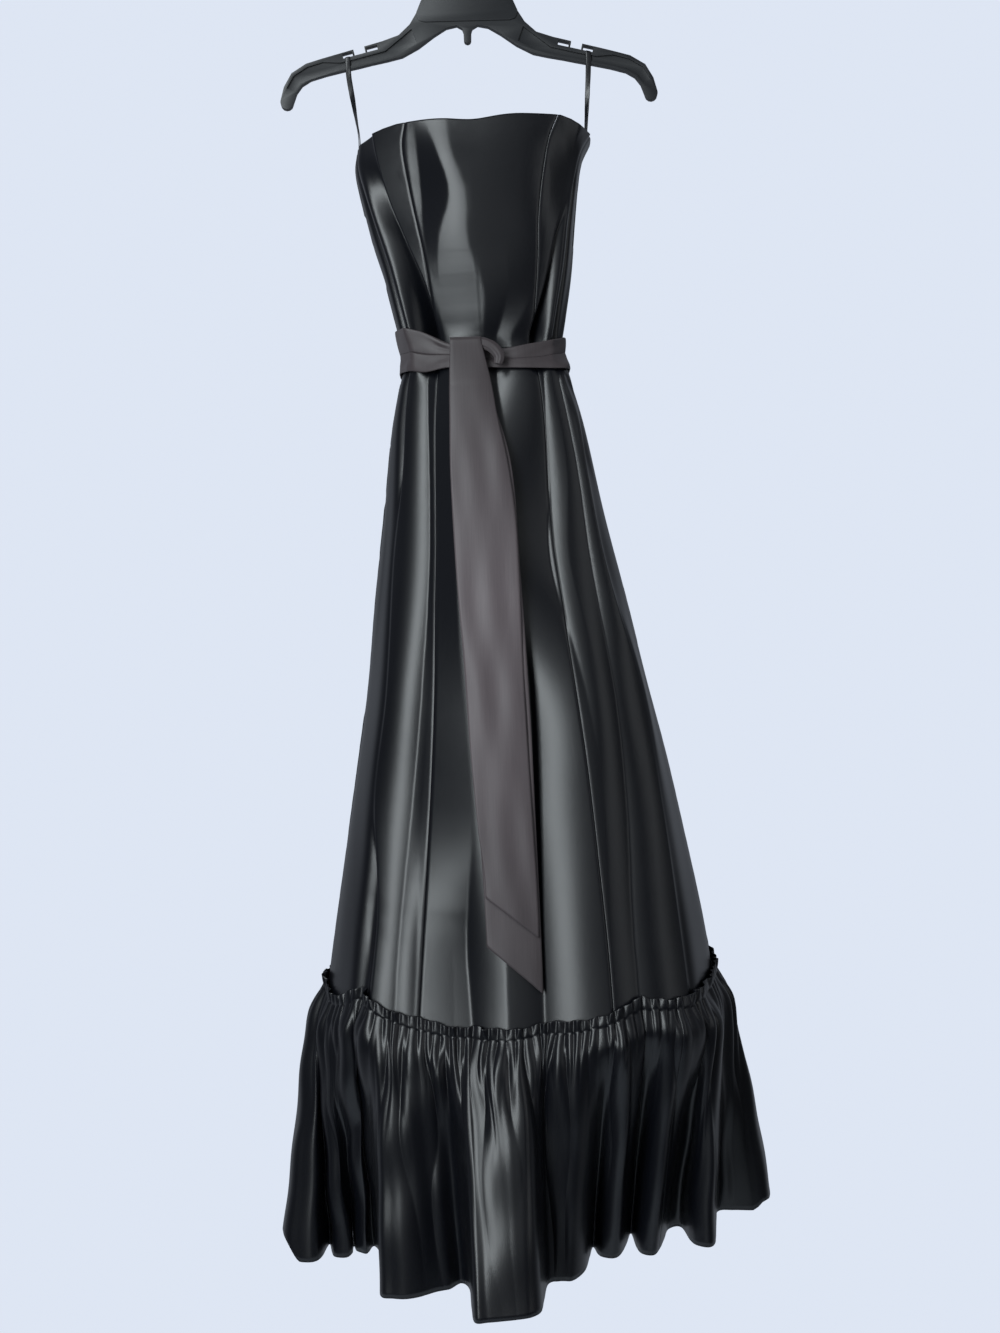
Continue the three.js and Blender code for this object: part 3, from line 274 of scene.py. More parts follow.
def loop_through(values: np.ndarray, at: np.ndarray) -> np.ndarray:
    """Read a closed list of points by a smooth curve.

    Args:
        values: points of the loop, one row each.
        at: places along it, in points.

    Returns:
        One row for each place.
    """
    count = len(values)
    k = np.floor(at).astype(int)
    t = (at - k)[:, None]
    a, b, c, d = (values[(k + n) % count] for n in (-1, 0, 1, 2))
    return b + 0.5 * t * (c - a + t * (2 * a - 5 * b + 4 * c - d + t * (3 * (b - c) + d - a)))


def ripples(u: np.ndarray, v: np.ndarray, seed: int, across: float, along: float, waves: int = 7) -> np.ndarray:
    """Give a soft uneven relief of long ripples, about -1 to 1.

    Args:
        u: places across, in millimetres.
        v: places along, in millimetres.
        seed: which relief.
        across: usual distance between ripples.
        along: usual length of a ripple.
        waves: how many waves are mixed.

    Returns:
        The relief at each place.
    """
    draw = np.random.default_rng(seed)
    total = np.zeros(np.broadcast(u, v).shape)
    for _ in range(waves):
        ku = 2 * math.pi / across * draw.uniform(0.55, 1.6) * draw.choice((-1.0, 1.0))
        kv = 2 * math.pi / along * draw.uniform(0.4, 1.5)
        total = total + draw.uniform(0.6, 1.0) * np.sin(ku * u + kv * v + draw.uniform(0, 2 * math.pi))
    return total / (0.8 * waves**0.5) / 1.4


class Ring:
    """A plain level ring of the dress, walked from the centre back leftwards by its running length."""

    def __init__(self, form: "DressForm", z: float) -> None:
        """Work out the ring at a height.

        Args:
            form: the dress's outline tables.
            z: height.
        """
        left, right, front, back = (form.outline(column, z) for column in range(1, 5))
        self.front_power = form.at_level(form.front_squareness, z)
        self.back_power = form.at_level(form.back_squareness, z)
        turn = np.linspace(0.0, 2 * math.pi, RING_STEPS + 1)
        cos, sin = np.cos(turn), np.sin(turn)
        power = np.where(cos > 0, self.back_power, self.front_power)
        depth = np.where(cos > 0, back - SIDE_DEPTH, SIDE_DEPTH - front)
        self.x = (left + right) / 2 - (right - left) / 2 * np.sign(sin) * np.abs(sin) ** (2 / power)
        self.y = SIDE_DEPTH + depth * np.sign(cos) * np.abs(cos) ** (2 / power)
        steps = np.hypot(np.diff(self.x), np.diff(self.y))
        self.lengths = np.concatenate(([0.0], np.cumsum(steps)))
        self.total = float(self.lengths[-1])

    def length_at(self, face: Face, across: float) -> float:
        """Give the running length at a place across the front or the back, from -1 to 1."""
        squareness = self.front_power if face is Face.FRONT else self.back_power
        quarter = math.asin(min(max(abs(across), 0.0), 1.0) ** (squareness / 2))
        if face is Face.FRONT:
            turn = math.pi - quarter if across < 0 else math.pi + quarter
        else:
            turn = quarter if across < 0 else 2 * math.pi - quarter
        return float(np.interp(turn / (2 * math.pi) * RING_STEPS, np.arange(RING_STEPS + 1), self.lengths))

    def at(self, lengths: np.ndarray) -> tuple[np.ndarray, np.ndarray]:
        """Give points and outward directions at running lengths.

        Args:
            lengths: places along the ring.

        Returns:
            Points and unit directions, as rows of x and y.
        """
        reach = self.total / 190

        def place(where: np.ndarray) -> np.ndarray:
            """Give the points at running lengths."""
            wrapped = np.mod(where, self.total)
            return np.stack([np.interp(wrapped, self.lengths, axis) for axis in (self.x, self.y)], axis=-1)

        along = place(lengths + reach) - place(lengths - reach)
        along /= np.linalg.norm(along, axis=-1, keepdims=True)
        return place(lengths), np.stack([along[..., 1], -along[..., 0]], axis=-1)


@dataclass
class DressForm:
    """The dress's outline, folds and seams from the neck to the heading."""

    # height, then how far the dress reaches to the left, right, front and back
    outlines: tuple[tuple[float, ...], ...] = (
        (-244, -128, 136, -114, 34),
        (-268, -131, 126, -117, 35),
        (-300, -126, 120, -121, 35),
        (-350, -115, 114, -118, 34),
        (-400, -101, 109, -108, 30),
        (-450, -91, 103, -96, 26),
        (-493, -85, 100, -88, 24),
        (-525, -90, 108, -93, 27),
        (-580, -99, 121, -103, 32),
        (-670, -110, 139, -114, 36),
        (-760, -122, 160, -126, 38),
        (-860, -133, 182, -138, 40),
        (-950, -147, 203, -150, 42),
        (-1040, -162, 221, -162, 45),
        (-1130, -177, 238, -175, 48),
        (-1200, -188, 248, -186, 50),
    )
    levels: tuple[float, ...] = (NECK_Z, -370, WAIST_Z, -716, HEADING_Z)
    front_squareness: tuple[float, ...] = (2.7, 2.8, 2.7, 2.3, 2.1)
    back_squareness: tuple[float, ...] = (3.2, 3.0, 3.0, 2.8, 2.6)
    # place across, half width and height of each fold at the five levels: neck, bust, waist, thigh, heading
    front_folds: tuple[tuple[tuple[float, ...], ...], ...] = (
        ((-0.99, -0.95, -0.93, -0.80, -0.80), (5, 5, 5, 9, 11), (-2, -6, -8, -13, -12)),
        ((-0.97, -0.86, -0.78, -0.64, -0.66), (6, 8, 9, 11, 13), (1, 6, 11, 12, 9)),
        ((-0.88, -0.68, -0.53, -0.44, -0.44), (24, 12, 12, 14, 11), (-6, -15, -25, -20, -8)),
        ((-0.54, -0.45, -0.34, -0.34, -0.36), (26, 30, 20, 16, 20), (2, 3, 0, 4, 10)),
        ((0.72, 0.5, 0.36, 0.28, 0.24), (26, 30, 10, 10, 11), (4, 5, 3, 4, 7)),
        ((0.94, 0.80, 0.64, 0.38, 0.30), (6, 9, 9, 11, 7), (0, -13, -21, -14, -7)),
        ((0.98, 0.89, 0.80, 0.50, 0.37), (6, 7, 8, 11, 12), (1, 3, 6, 10, 8)),
        ((0.99, 0.95, 0.90, 0.62, 0.46), (4, 4, 5, 9, 9), (-1, -5, -7, -8, -8)),
        ((1, 1, 0.98, 0.76, 0.64), (6, 6, 6, 15, 18), (0, 2, 3, 7, 8)),
        ((1, 1, 1, 0.90, 0.82), (6, 6, 6, 10, 13), (0, 0, 0, -5, -9)),
    )
    back_folds: tuple[tuple[tuple[float, ...], ...], ...] = (
        ((-0.88, -0.8, -0.76, -0.78, -0.80), (9, 9, 9, 14, 18), (0, 5, 8, 9, 10)),
        ((-0.7, -0.6, -0.52, -0.56, -0.58), (10, 10, 9, 15, 18), (0, -6, -9, -10, -10)),
        ((-0.4, -0.32, -0.26, -0.30, -0.32), (16, 14, 12, 18, 22), (0, 2, 4, 7, 9)),
        ((-0.1, -0.1, -0.08, -0.10, -0.12), (10, 10, 9, 14, 18), (0, 0, -3, -5, -8)),
        ((0.3, 0.26, 0.2, 0.16, 0.14), (16, 14, 12, 18, 24), (0, 2, 4, 7, 8)),
        ((0.66, 0.56, 0.46, 0.44, 0.42), (10, 10, 9, 14, 18), (0, -6, -9, -9, -9)),
        ((0.86, 0.8, 0.74, 0.72, 0.70), (9, 9, 9, 16, 20), (0, 5, 8, 9, 10)),
    )
    bodice_draping: Draping = Draping((
        (118, ((358, -65, -65), (368, -45, -31), (406, -28, -22), (413, -24, -24), (424, -17, -17), (446, -9, -4),
               (500, 2, 2), (548, 12, 12), (561, 18, 20), (578, 34, 36), (592, 65, 65))),
        (150, ((358, -65, -65), (373, -48, -31), (407, -28, -20), (417, -24, -40), (436, -40, -22),
               (452, -10, -3), (500, 3, 3), (548, 10, 16), (566, 20, 22), (577, 36, 38), (585, 65, 65))),
        (190, ((360, -65, -65), (384, -46, -31), (412, -28, -20), (421, -24, -44), (448, -40, -22),
               (468, -10, -2), (505, 3, 3), (550, 10, 16), (566, 22, 24), (572, 36, -10), (577, 60, 60))),
        (235, ((370, -65, -65), (402, -44, -31), (419, -28, -20), (424, -24, -36), (438, -34, -20),
               (468, -10, -1), (505, 3, 3), (545, 10, 14), (553, 20, 26), (558, 34, -32), (572, 60, 60))),
        (290, ((388, -65, -65), (425, -40, -22), (430, -20, -20), (434, -18, -18), (440, -17, -17), (484, -11, 0),
               (508, 5, 5), (534, 12, 14), (540, 20, 22), (546, 28, -32), (568, 60, 60))),
        (335, ((399, -65, -65), (436, -42, -36), (440, -40, -40), (444, -38, -26), (448, -19, -19), (483, -11, 3),
               (496, 8, -19), (512, -11, 4), (524, 12, 12), (532, 18, -26), (563, 60, 60))),
    ))
    skirt_draping: Draping = Draping((
        (380, ((400, -70, -70), (407, -30, -45), (427, -6, -36), (432, -38, -38), (449, -40, -25), (470, 8, 8),
               (497, 8, -20), (544, 14, -28), (554, 6, 6), (559, 14, -30), (562, -10, -10), (565, 5, 5),
               (567, 60, 60))),
        (470, ((389, -70, -70), (400, -20, -48), (429, -6, -38), (436, -38, -38), (452, -40, -25), (480, 12, 12),
               (511, 10, 10), (549, 18, -24), (567, -6, 2), (577, 18, -28), (583, -8, -8), (587, 10, 10),
               (591, 60, 60))),
        (560, ((383, -70, -70), (391, -10, -50), (429, -6, -38), (436, -40, -40), (455, -42, -25), (487, 14, 14),
               (518, 12, 14), (551, 20, -24), (570, -6, 4), (590, 22, -28), (598, -8, -8), (606, 14, 14),
               (613, 60, 60))),
        (690, ((368, -70, -70), (384, -8, -48), (421, -4, -30), (429, -36, -34), (462, -32, -32), (497, 14, 14),
               (530, 12, -28), (586, -2, -18), (604, 6, 6), (614, 20, -30), (634, -10, -8), (642, 12, 12),
               (646, 60, 60))),
        (800, ((353, -70, -70), (372, -8, -44), (411, -6, -28), (421, -36, -33), (472, -30, -30), (505, 14, 14),
               (535, 12, -30), (604, 2, 6), (618, 16, 16), (626, 24, -28), (650, -10, -8), (662, 14, 14),
               (673, 60, 60))),
        (920, ((337, -70, -70), (376, -4, -36), (399, -6, -28), (416, -6, -17), (466, -8, -40), (505, -20, -5),
               (541, 10, -34), (609, 4, 10), (622, 18, 18), (632, 24, -24), (658, -10, -8), (680, 14, 14),
               (699, 60, 60))),
        (1010, ((326, -70, -70), (368, -4, -36), (393, -6, -28), (412, -6, -17), (472, -8, -38), (508, -20, -5),
                (544, 10, -34), (615, 4, 10), (630, 18, 18), (640, 24, -24), (668, -10, -8), (692, 14, 14),
                (717, 60, 60))),
    ))
    # seams across the front: left side, left princess, right princess, right side
    seams: tuple[tuple[float, ...], ...] = (
        (-1, -1, -1, -1, -1),
        (-0.56, -0.52, -0.53, -0.49, -0.50),
        (0.71, 0.64, 0.64, 0.48, 0.45),
        (1, 1, 1, 1, 1),
    )
    ripple_height: float = 0.35
    # how far the sash draws the cloth in, how far above the waist and over what height
    cinch: float = 3.2
    cinch_above: float = 8.0
    cinch_reach: float = 45.0
    # how far from the waist the two drawings meet
    waist_blend: float = 30.0
    rings: dict[float, Ring] = field(default_factory=dict)
    shifts: dict[tuple[float, bool], tuple[np.ndarray, np.ndarray]] = field(default_factory=dict)

    def at_level(self, values: tuple[float, ...], z: float) -> float:
        """Read a list given at the five levels, eased between them."""
        k = 0
        while k < len(self.levels) - 2 and z < self.levels[k + 1]:
            k += 1
        t = min(max((self.levels[k] - z) / (self.levels[k] - self.levels[k + 1]), 0.0), 1.0)
        return values[k] + (values[k + 1] - values[k]) * (t + float(smooth(t))) / 2

    def outline(self, column: int, z: float) -> float:
        """Read one column of the outline table at a height."""
        table = np.array(self.outlines, float)[::-1]
        return float(curve_through(table[:, 0], table[:, column], np.array([z]))[0])

    def ring(self, z: float) -> Ring:
        """Give the plain ring at a height, worked out once."""
        key = round(z, 4)
        if key not in self.rings:
            self.rings[key] = Ring(self, z)
        return self.rings[key]

    def shift(self, z: float, above: bool) -> tuple[np.ndarray, np.ndarray]:
        """Give the drawn move of the ring at a height, worked out once.

        Args:
            z: height.
            above: whether the bodice's drawing counts, or the skirt's.

        Returns:
            The move and the drawing's share at each step of the ring.
        """
        key = (round(z, 4), above)
        if key not in self.shifts:
            drapings = (self.bodice_draping, self.skirt_draping)
            own, other = drapings if above else drapings[::-1]
            shared = 0.5 * (1.0 - float(smooth(abs(z - WAIST_Z) / self.waist_blend)))
            pairs = zip(own.shift(self.ring(z), z), other.shift(self.ring(z), z))
            self.shifts[key] = tuple(a + (b - a) * shared for a, b in pairs)
        return self.shifts[key]

    def folds(self) -> list[Fold]:
        """List the folds of the front and the back."""
        front = [Fold(Face.FRONT, *row) for row in self.front_folds]
        return front + [Fold(Face.BACK, *row) for row in self.back_folds]

    def relief(self, z: float, lengths: np.ndarray) -> np.ndarray:
        """Give how far the folds and ripples lift the cloth at running lengths of one ring.

        Args:
            z: the ring's height.
            lengths: places along it.

        Returns:
            One height for each place.
        """
        ring = self.ring(z)
        total = np.zeros(len(lengths))
        for fold in self.folds():
            high = self.at_level(fold.high, z)
            if abs(high) < 0.02:
                continue
            centre = ring.length_at(fold.face, self.at_level(fold.across, z))
            away = np.abs(lengths - centre)
            away = np.minimum(away, ring.total - away) / self.at_level(fold.wide, z)
            total += high * np.exp(-away * away)
        flat = lengths / ring.total * 700.0
        down = (NECK_Z - z) / 250.0
        total += self.ripple_height * min(0.3 + down, 1.6) * ripples(flat, np.full(len(lengths), z), 5, 80, 800)
        return total

    def stops(self, z: float) -> list[float]:
        """Give the running lengths of the seams of one ring, from the centre back and round to it."""
        ring = self.ring(z)
        places = [ring.length_at(Face.FRONT, self.at_level(seam, z)) for seam in self.seams]
        return [0.0, *places, ring.total]

    def row(
        self, z: float, panel: int, t: np.ndarray, sewn: bool = True, above: bool = False
    ) -> tuple[np.ndarray, np.ndarray]:
        """Give one row of points of a panel.

        Args:
            z: height of the ring.
            panel: which panel, counted from the centre back leftwards.
            t: places across the panel, from 0 to 1.
            sewn: whether the cloth sinks and puckers at the panel's seams.
            above: whether the row belongs to the bodice.

        Returns:
            The points, and the running lengths of the places.
        """
        ring = self.ring(z)
        stops = self.stops(z)
        lengths = stops[panel] + (stops[panel + 1] - stops[panel]) * t
        points, outward = ring.at(lengths)
        moves, shares = self.shift(z, above)
        share = np.interp(lengths, ring.lengths, shares)
        lift = self.relief(z, lengths) * (1 - share)
        if sewn:
            edge = np.minimum(lengths - stops[panel], stops[panel + 1] - lengths)
            lift -= 0.7 * np.exp(-((edge / 1.6) ** 2))
            pucker = math.sin(z * 0.31) + math.sin(z * 0.19 + 1.3)
            lift += 0.05 * pucker * np.exp(-(((edge - 5.0) / 4.0) ** 2))
        lift = lift - self.cinch * math.exp(-(((z - WAIST_Z - self.cinch_above) / self.cinch_reach) ** 2))
        moved = points + outward * lift[:, None]
        moved[:, 1] += np.interp(lengths, ring.lengths, moves)
        return np.column_stack([moved, np.full(len(t), z)]), lengths


def frontness(points: np.ndarray, front: float) -> np.ndarray:
    """Say how far forward points lie: 0 at the sides and behind, 1 at the centre front."""
    return np.clip((SIDE_DEPTH - points[..., 1]) / (SIDE_DEPTH - front), 0.0, 1.0)


def outward_of(loop: np.ndarray) -> np.ndarray:
    """Give the level outward direction at each point of a closed ring of points."""
    before, after = np.roll(loop, 1, axis=0), np.roll(loop, -1, axis=0)
    back, ahead = (loop - before)[:, :2], (after - loop)[:, :2]
    back = back / np.linalg.norm(back, axis=1, keepdims=True)
    ahead = ahead / np.linalg.norm(ahead, axis=1, keepdims=True)
    along = back + ahead
    along /= np.linalg.norm(along, axis=1, keepdims=True)
    return np.column_stack([along[:, 1], -along[:, 0], np.zeros(len(loop))])


def open_seams(points: np.ndarray, share: float) -> np.ndarray:
    """Draw a grid's first and last columns in by a share of a step, so that sewn panels don't touch."""
    points[:, 0] += share * (points[:, 1] - points[:, 0])
    points[:, -1] += share * (points[:, -2] - points[:, -1])
    return points


class Workshop:
    """Makes objects from grids and from copies of the frame's nodes, and hands them over."""

    def __init__(self, frame: dict) -> None:
        """Keep the frame.
        """
        self.frame = frame

    @staticmethod
    def pick(obj: bpy.types.Object) -> None:
        """Make an object the only one selected, and the active one."""
        for other in bpy.context.selected_objects:
            other.select_set(False)
        obj.select_set(True)
        bpy.context.view_layer.objects.active = obj

    @classmethod
    def apply(cls, obj: bpy.types.Object, kind: str, **settings: object) -> None:
        """Add a modifier, set it and apply it.

        Args:
            obj: the object.
            kind: the modifier's type.
            **settings: its settings by name.
        """
        cls.pick(obj)
        modifier = obj.modifiers.new(kind.title(), kind)
        for name, value in settings.items():
            setattr(modifier, name, value)
        bpy.ops.object.modifier_apply(modifier=modifier.name)

    @staticmethod
    def mesh_object(name: str, points: np.ndarray, faces: list[tuple[int, ...]]) -> bpy.types.Object:
        """Make a smooth-shaded object from points in millimetres.

        Args:
            name: its name.
            points: one row for each point.
            faces: corners of each face.

        Returns:
            The object, linked to the scene.
        """
        mesh = bpy.data.meshes.new(name)
        mesh.from_pydata((np.asarray(points) * MM).tolist(), [], faces)
        mesh.update()
        mesh.polygons.foreach_set("use_smooth", [True] * len(mesh.polygons))
        obj = bpy.data.objects.new(name, mesh)
        bpy.context.scene.collection.objects.link(obj)
        return obj

    @classmethod
    def cloth(cls, name: str, grid: Grid, wall: float, closed: bool = False) -> bpy.types.Object:
        """Make a thin shell of cloth from a grid, with a UV map in metres of cloth.

        Args:
            name: its name.
            grid: rows that run down, columns leftwards round the dress.
            wall: thickness, taken inwards.
            closed: whether the last column meets the first.

        Returns:
            The object.
        """
        rows, columns = grid.points.shape[:2]
        across = columns if closed else columns - 1
        faces, corners = [], []
        for r in range(rows - 1):
            for c in range(across):
                n = (c + 1) % columns
                faces.append((r * columns + c, (r + 1) * columns + c, (r + 1) * columns + n, r * columns + n))
                corners.append(((r, c), (r + 1, c), (r + 1, c + 1), (r, c + 1)))
        obj = cls.mesh_object(name, grid.points.reshape(-1, 3), faces)
        flat = np.concatenate([grid.cloth, 2 * grid.cloth[:, -1:] - grid.cloth[:, -2:-1]], axis=1)
        where = np.array(corners).reshape(-1, 2)
        layer = obj.data.uv_layers.new(name="cloth")
        layer.data.foreach_set("uv", flat[where[:, 0], where[:, 1]].astype(np.float32).ravel())
        cls.apply(obj, "SOLIDIFY", thickness=wall * MM, offset=-1.0, use_even_offset=False)
        return obj

    def sew(
        self, node: str, grid: Grid, wall: float, satin: bpy.types.Material, slot: str, held: Held,
    ) -> None:
        """Make a sheet of cloth in a node's place and hand it over.

        Args:
            node: the node that it replaces.
            grid: its points.
            wall: its thickness.
            satin: its finish.
            slot: the record's material slot.
            held: how it is held; a folded sheet closes round the dress.
        """
        obj = self.cloth(node + "_satin", grid, wall, closed=held is Held.FOLDED)
        self.hand_over(obj, satin, slot, nodes=(node,))

    @classmethod
    def face_outwards(cls, obj: bpy.types.Object) -> None:
        """Turn all faces of a closed piece outwards."""
        cls.pick(obj)
        bpy.ops.object.mode_set(mode="EDIT")
        bpy.ops.mesh.select_all(action="SELECT")
        bpy.ops.mesh.normals_make_consistent(inside=False)
        bpy.ops.object.mode_set(mode="OBJECT")

    @staticmethod
    def map_cloth(obj: bpy.types.Object) -> None:
        """Lay a piece's cloth map flat, across and up."""
        layer = obj.data.uv_layers.get("cloth") or obj.data.uv_layers.new(name="cloth")
        for loop in obj.data.loops:
            place = obj.data.vertices[loop.vertex_index].co
            layer.data[loop.index].uv = (place.x, place.z)

    def copy_node(self, node: str, name: str, bevel: float, angle: float = 35.0) -> bpy.types.Object:
        """Copy a node's mesh, merge it and round its edges.

        Args:
            node: the node.
            name: the copy's name.
            bevel: width of the rounding in millimetres.
            angle: faces that meet at more than this, in degrees, get rounded.

        Returns:
            The copy.
        """
        source = self.frame["nodes"][node]
        obj = bpy.data.objects.new(name, source.data.copy())
        bpy.context.scene.collection.objects.link(obj)
        obj.data.materials.clear()
        self.pick(obj)
        bpy.ops.object.mode_set(mode="EDIT")
        bpy.ops.mesh.select_all(action="SELECT")
        bpy.ops.mesh.remove_doubles(threshold=2e-5)
        bpy.ops.mesh.dissolve_limited(angle_limit=math.radians(1.0))
        bpy.ops.object.mode_set(mode="OBJECT")
        if bevel:
            self.apply(
                obj, "BEVEL", width=bevel * MM, segments=3, limit_method="ANGLE", angle_limit=math.radians(angle),
                harden_normals=False, use_clamp_overlap=True,
            )
        self.pick(obj)
        bpy.ops.object.shade_smooth_by_angle(angle=math.radians(40))
        return obj

    @staticmethod
    def hand_over(
        obj: bpy.types.Object, material: bpy.types.Material, slot: str, body: str = DRESS_BODY,
        nodes: tuple[str, ...] = (),
    ) -> bpy.types.Object:
        """Dress a finished piece, let it ride on its body and hide the nodes it replaces.

        Args:
            obj: the piece.
            material: its finish.
            slot: the record's material slot; not used.
            body: the body it rides on.
            nodes: the nodes it replaces.

        Returns:
            The piece.
        """
        obj.data.materials.clear()
        obj.data.materials.append(material)
        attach(obj, body)
        if nodes:
            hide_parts(*nodes)
        LOG.info("%s: %d faces on %s", obj.name, len(obj.data.polygons), body)
        return obj


class Value:
    """A shader socket that takes part in sums."""

    def __init__(self, shader: "Shader", socket: bpy.types.NodeSocket) -> None:
        """Wrap a socket.

        Args:
            shader: the material's builder.
            socket: an output socket.
        """
        self.shader = shader
        self.socket = socket

    def _sum(self, operation: str, other: "Value | float", turned: bool = False) -> "Value":
        """Add a Math node for this and another value."""
        pair = (other, self) if turned else (self, other)
        return self.shader.node("ShaderNodeMath", {"operation": operation}, dict(enumerate(pair)))

    def __add__(self, other: "Value | float") -> "Value":
        """Add."""
        return self._sum("ADD", other)

    __radd__ = __add__

    def __mul__(self, other: "Value | float") -> "Value":
        """Multiply."""
        return self._sum("MULTIPLY", other)

    __rmul__ = __mul__

    def __sub__(self, other: "Value | float") -> "Value":
        """Subtract."""
        return self._sum("SUBTRACT", other)

    def __rsub__(self, other: "Value | float") -> "Value":
        """Subtract this from another."""
        return self._sum("SUBTRACT", other, turned=True)

    def part(self, name: str) -> "Value":
        """Give another output of the same node."""
        return Value(self.shader, self.socket.node.outputs[name])


class Shader:
    """Builds one material's nodes."""

    def __init__(self, name: str) -> None:
        """Start a material with a Principled surface.

        Args:
            name: the material's name.
        """
        self.material = bpy.data.materials.new(name)
        self.material.use_nodes = True
        self.tree = self.material.node_tree
        self.tree.nodes.clear()
        self.surface = self.tree.nodes.new("ShaderNodeBsdfPrincipled")
        output = self.tree.nodes.new("ShaderNodeOutputMaterial")
        self.tree.links.new(self.surface.outputs[0], output.inputs["Surface"])

    def node(self, kind: str, settings: dict[str, object], inputs: dict[object, object]) -> Value:
        """Add a node.

        Args:
            kind: the node's type.
            settings: its own settings, set first; "stops" sets a colour ramp.
            inputs: values or links by socket name or number.

        Returns:
            Its first output.
        """
        made = self.tree.nodes.new(kind)
        for name, value in settings.items():
            if name == "stops":
                ramp = made.color_ramp
                while len(ramp.elements) < len(value):
                    ramp.elements.new(0.5)
                for element, (place, colour) in zip(ramp.elements, value):
                    element.position = place
                    element.color = colour
            else:
                setattr(made, name, value)
        for name, value in inputs.items():
            self.feed(made.inputs[name], value)
        return Value(self, made.outputs[0])

    def feed(self, socket: bpy.types.NodeSocket, value: object) -> None:
        """Link a value to a socket, or set the socket."""
        if isinstance(value, Value):
            self.tree.links.new(value.socket, socket)
        else:
            socket.default_value = value

    def set(self, **values: object) -> None:
        """Set or link the surface's sockets, with _ for the spaces in their names."""
        for name, value in values.items():
            self.feed(self.surface.inputs[name.replace("_", " ")], value)

    def mix(self, factor: Value, a: tuple[float, ...], b: tuple[float, ...] | Value) -> Value:
        """Mix two colours by a factor."""
        made = self.tree.nodes.new("ShaderNodeMix")
        made.data_type = "RGBA"
        self.feed(made.inputs["Factor"], factor)
        colours = [socket for socket in made.inputs if socket.type == "RGBA"]
        self.feed(colours[0], a)
        self.feed(colours[1], b)
        return Value(self, next(socket for socket in made.outputs if socket.type == "RGBA"))

    def noise(self, place: Value, scale: tuple[float, float, float], detail: float = 2.0) -> Value:
        """Give a noise from 0 to 1, with its own number of grains a metre along each axis."""
        mapped = self.node("ShaderNodeMapping", {}, {"Vector": place, "Scale": scale})
        return self.node("ShaderNodeTexNoise", {}, {"Vector": mapped, "Scale": 1.0, "Detail": detail})

    def bump(self, height: Value, distance: float, strength: float) -> Value:
        """Turn a height into a normal."""
        return self.node("ShaderNodeBump", {}, {"Height": height, "Distance": distance, "Strength": strength})


@dataclass(frozen=True)
class Satin:
    """A satin: smooth floats of thread along the cloth, with a fine weave and faint slubs."""

    name: str
    dark: tuple[float, float, float, float]
    light: tuple[float, float, float, float]
    roughness: float
    specular: float
    sheen: float
    sheen_tint: tuple[float, float, float, float]
    thread: float = 0.00028
    # painted shade and light by height: how dark the cloth is painted at the waist and at the tails' lowest corner,
    # with a painted lighter band between; 1 leaves it even
    ends: float = 1.0

    def make(self) -> bpy.types.Material:
        """Build the material.

        Returns:
            The material.
        """
        shader = Shader(self.name)
        cloth = shader.node("ShaderNodeUVMap", {"uv_map": "cloth"}, {})
        slubs = shader.noise(cloth, (900.0, 25.0, 1.0), 3.0)
        drift = shader.noise(cloth, (9.0, 4.0, 1.0), 2.0)
        shade = slubs * 0.5 + drift * 0.5
        colour = shader.mix(shade, self.dark, self.light)
        # painted shade and light: the colour is darkened by height at the waist and at the tails' ends, and lightened
        # between them
        if self.ends < 1.0:
            place = shader.node("ShaderNodeTexCoord", {}, {}).part("Object")
            height = shader.node("ShaderNodeSeparateXYZ", {}, {"Vector": place}).part("Z") * 1.45 + 1.7
            painted_shade_tones = (
                (0.0, self.ends), (0.1, 0.72), (0.3, 0.92), (0.6, 1.12), (0.82, 0.74), (0.93, 0.55), (1.0, self.ends),
            )
            stops = [(at, (tone, tone, tone, 1.0)) for at, tone in painted_shade_tones]
            along = shader.node("ShaderNodeValToRGB", {"stops": stops}, {"Fac": height + drift * 0.16 - 0.08})
            colour = shader.node("ShaderNodeVectorMath", {"operation": "MULTIPLY"}, {0: colour, 1: along})
        shader.set(Base_Color=colour)
        shader.set(Roughness=shade * 0.06 + (self.roughness - 0.03))
        threads = shader.node(
            "ShaderNodeTexWave", {"wave_type": "BANDS", "bands_direction": "X", "wave_profile": "SIN"},
            {"Vector": cloth, "Scale": 0.314 / self.thread, "Distortion": 0.6, "Detail": 1.0},
        )
        picks = shader.noise(cloth, (600.0, 2600.0, 1.0), 1.0)
        fine = shader.bump(threads * 0.6 + picks * 0.4, 0.00003, 0.3)
        shader.set(Normal=fine, Specular_IOR_Level=self.specular, Sheen_Weight=self.sheen, Sheen_Roughness=0.45)
        shader.set(Sheen_Tint=self.sheen_tint)
        return shader.material


@dataclass(frozen=True)
class Moulding:
    """Moulded plastic with a fine spark-eroded grain and slight flow marks."""

    name: str
    dark: tuple[float, float, float, float]
    light: tuple[float, float, float, float]
    roughness: float

    def make(self) -> bpy.types.Material:
        """Build the material.

        Returns:
            The material.
        """
        shader = Shader(self.name)
        place = shader.node("ShaderNodeTexCoord", {}, {}).part("Object")
        flow = shader.noise(place, (14.0, 14.0, 30.0), 3.0)
        grain = shader.noise(place, (2600.0, 2600.0, 2600.0), 1.0)
        scuffs = shader.node(
            "ShaderNodeValToRGB", {"stops": ((0.62, (0, 0, 0, 1)), (0.78, (1, 1, 1, 1)))},
            {"Fac": shader.noise(place, (60.0, 60.0, 220.0), 4.0)},
        )
        shader.set(Base_Color=shader.mix(flow, self.dark, self.light))
        shader.set(Roughness=flow * 0.12 + scuffs * 0.08 + (self.roughness - 0.06))
        shader.set(Normal=shader.bump(grain, 0.00005, 0.4), Specular_IOR_Level=0.5)
        return shader.material


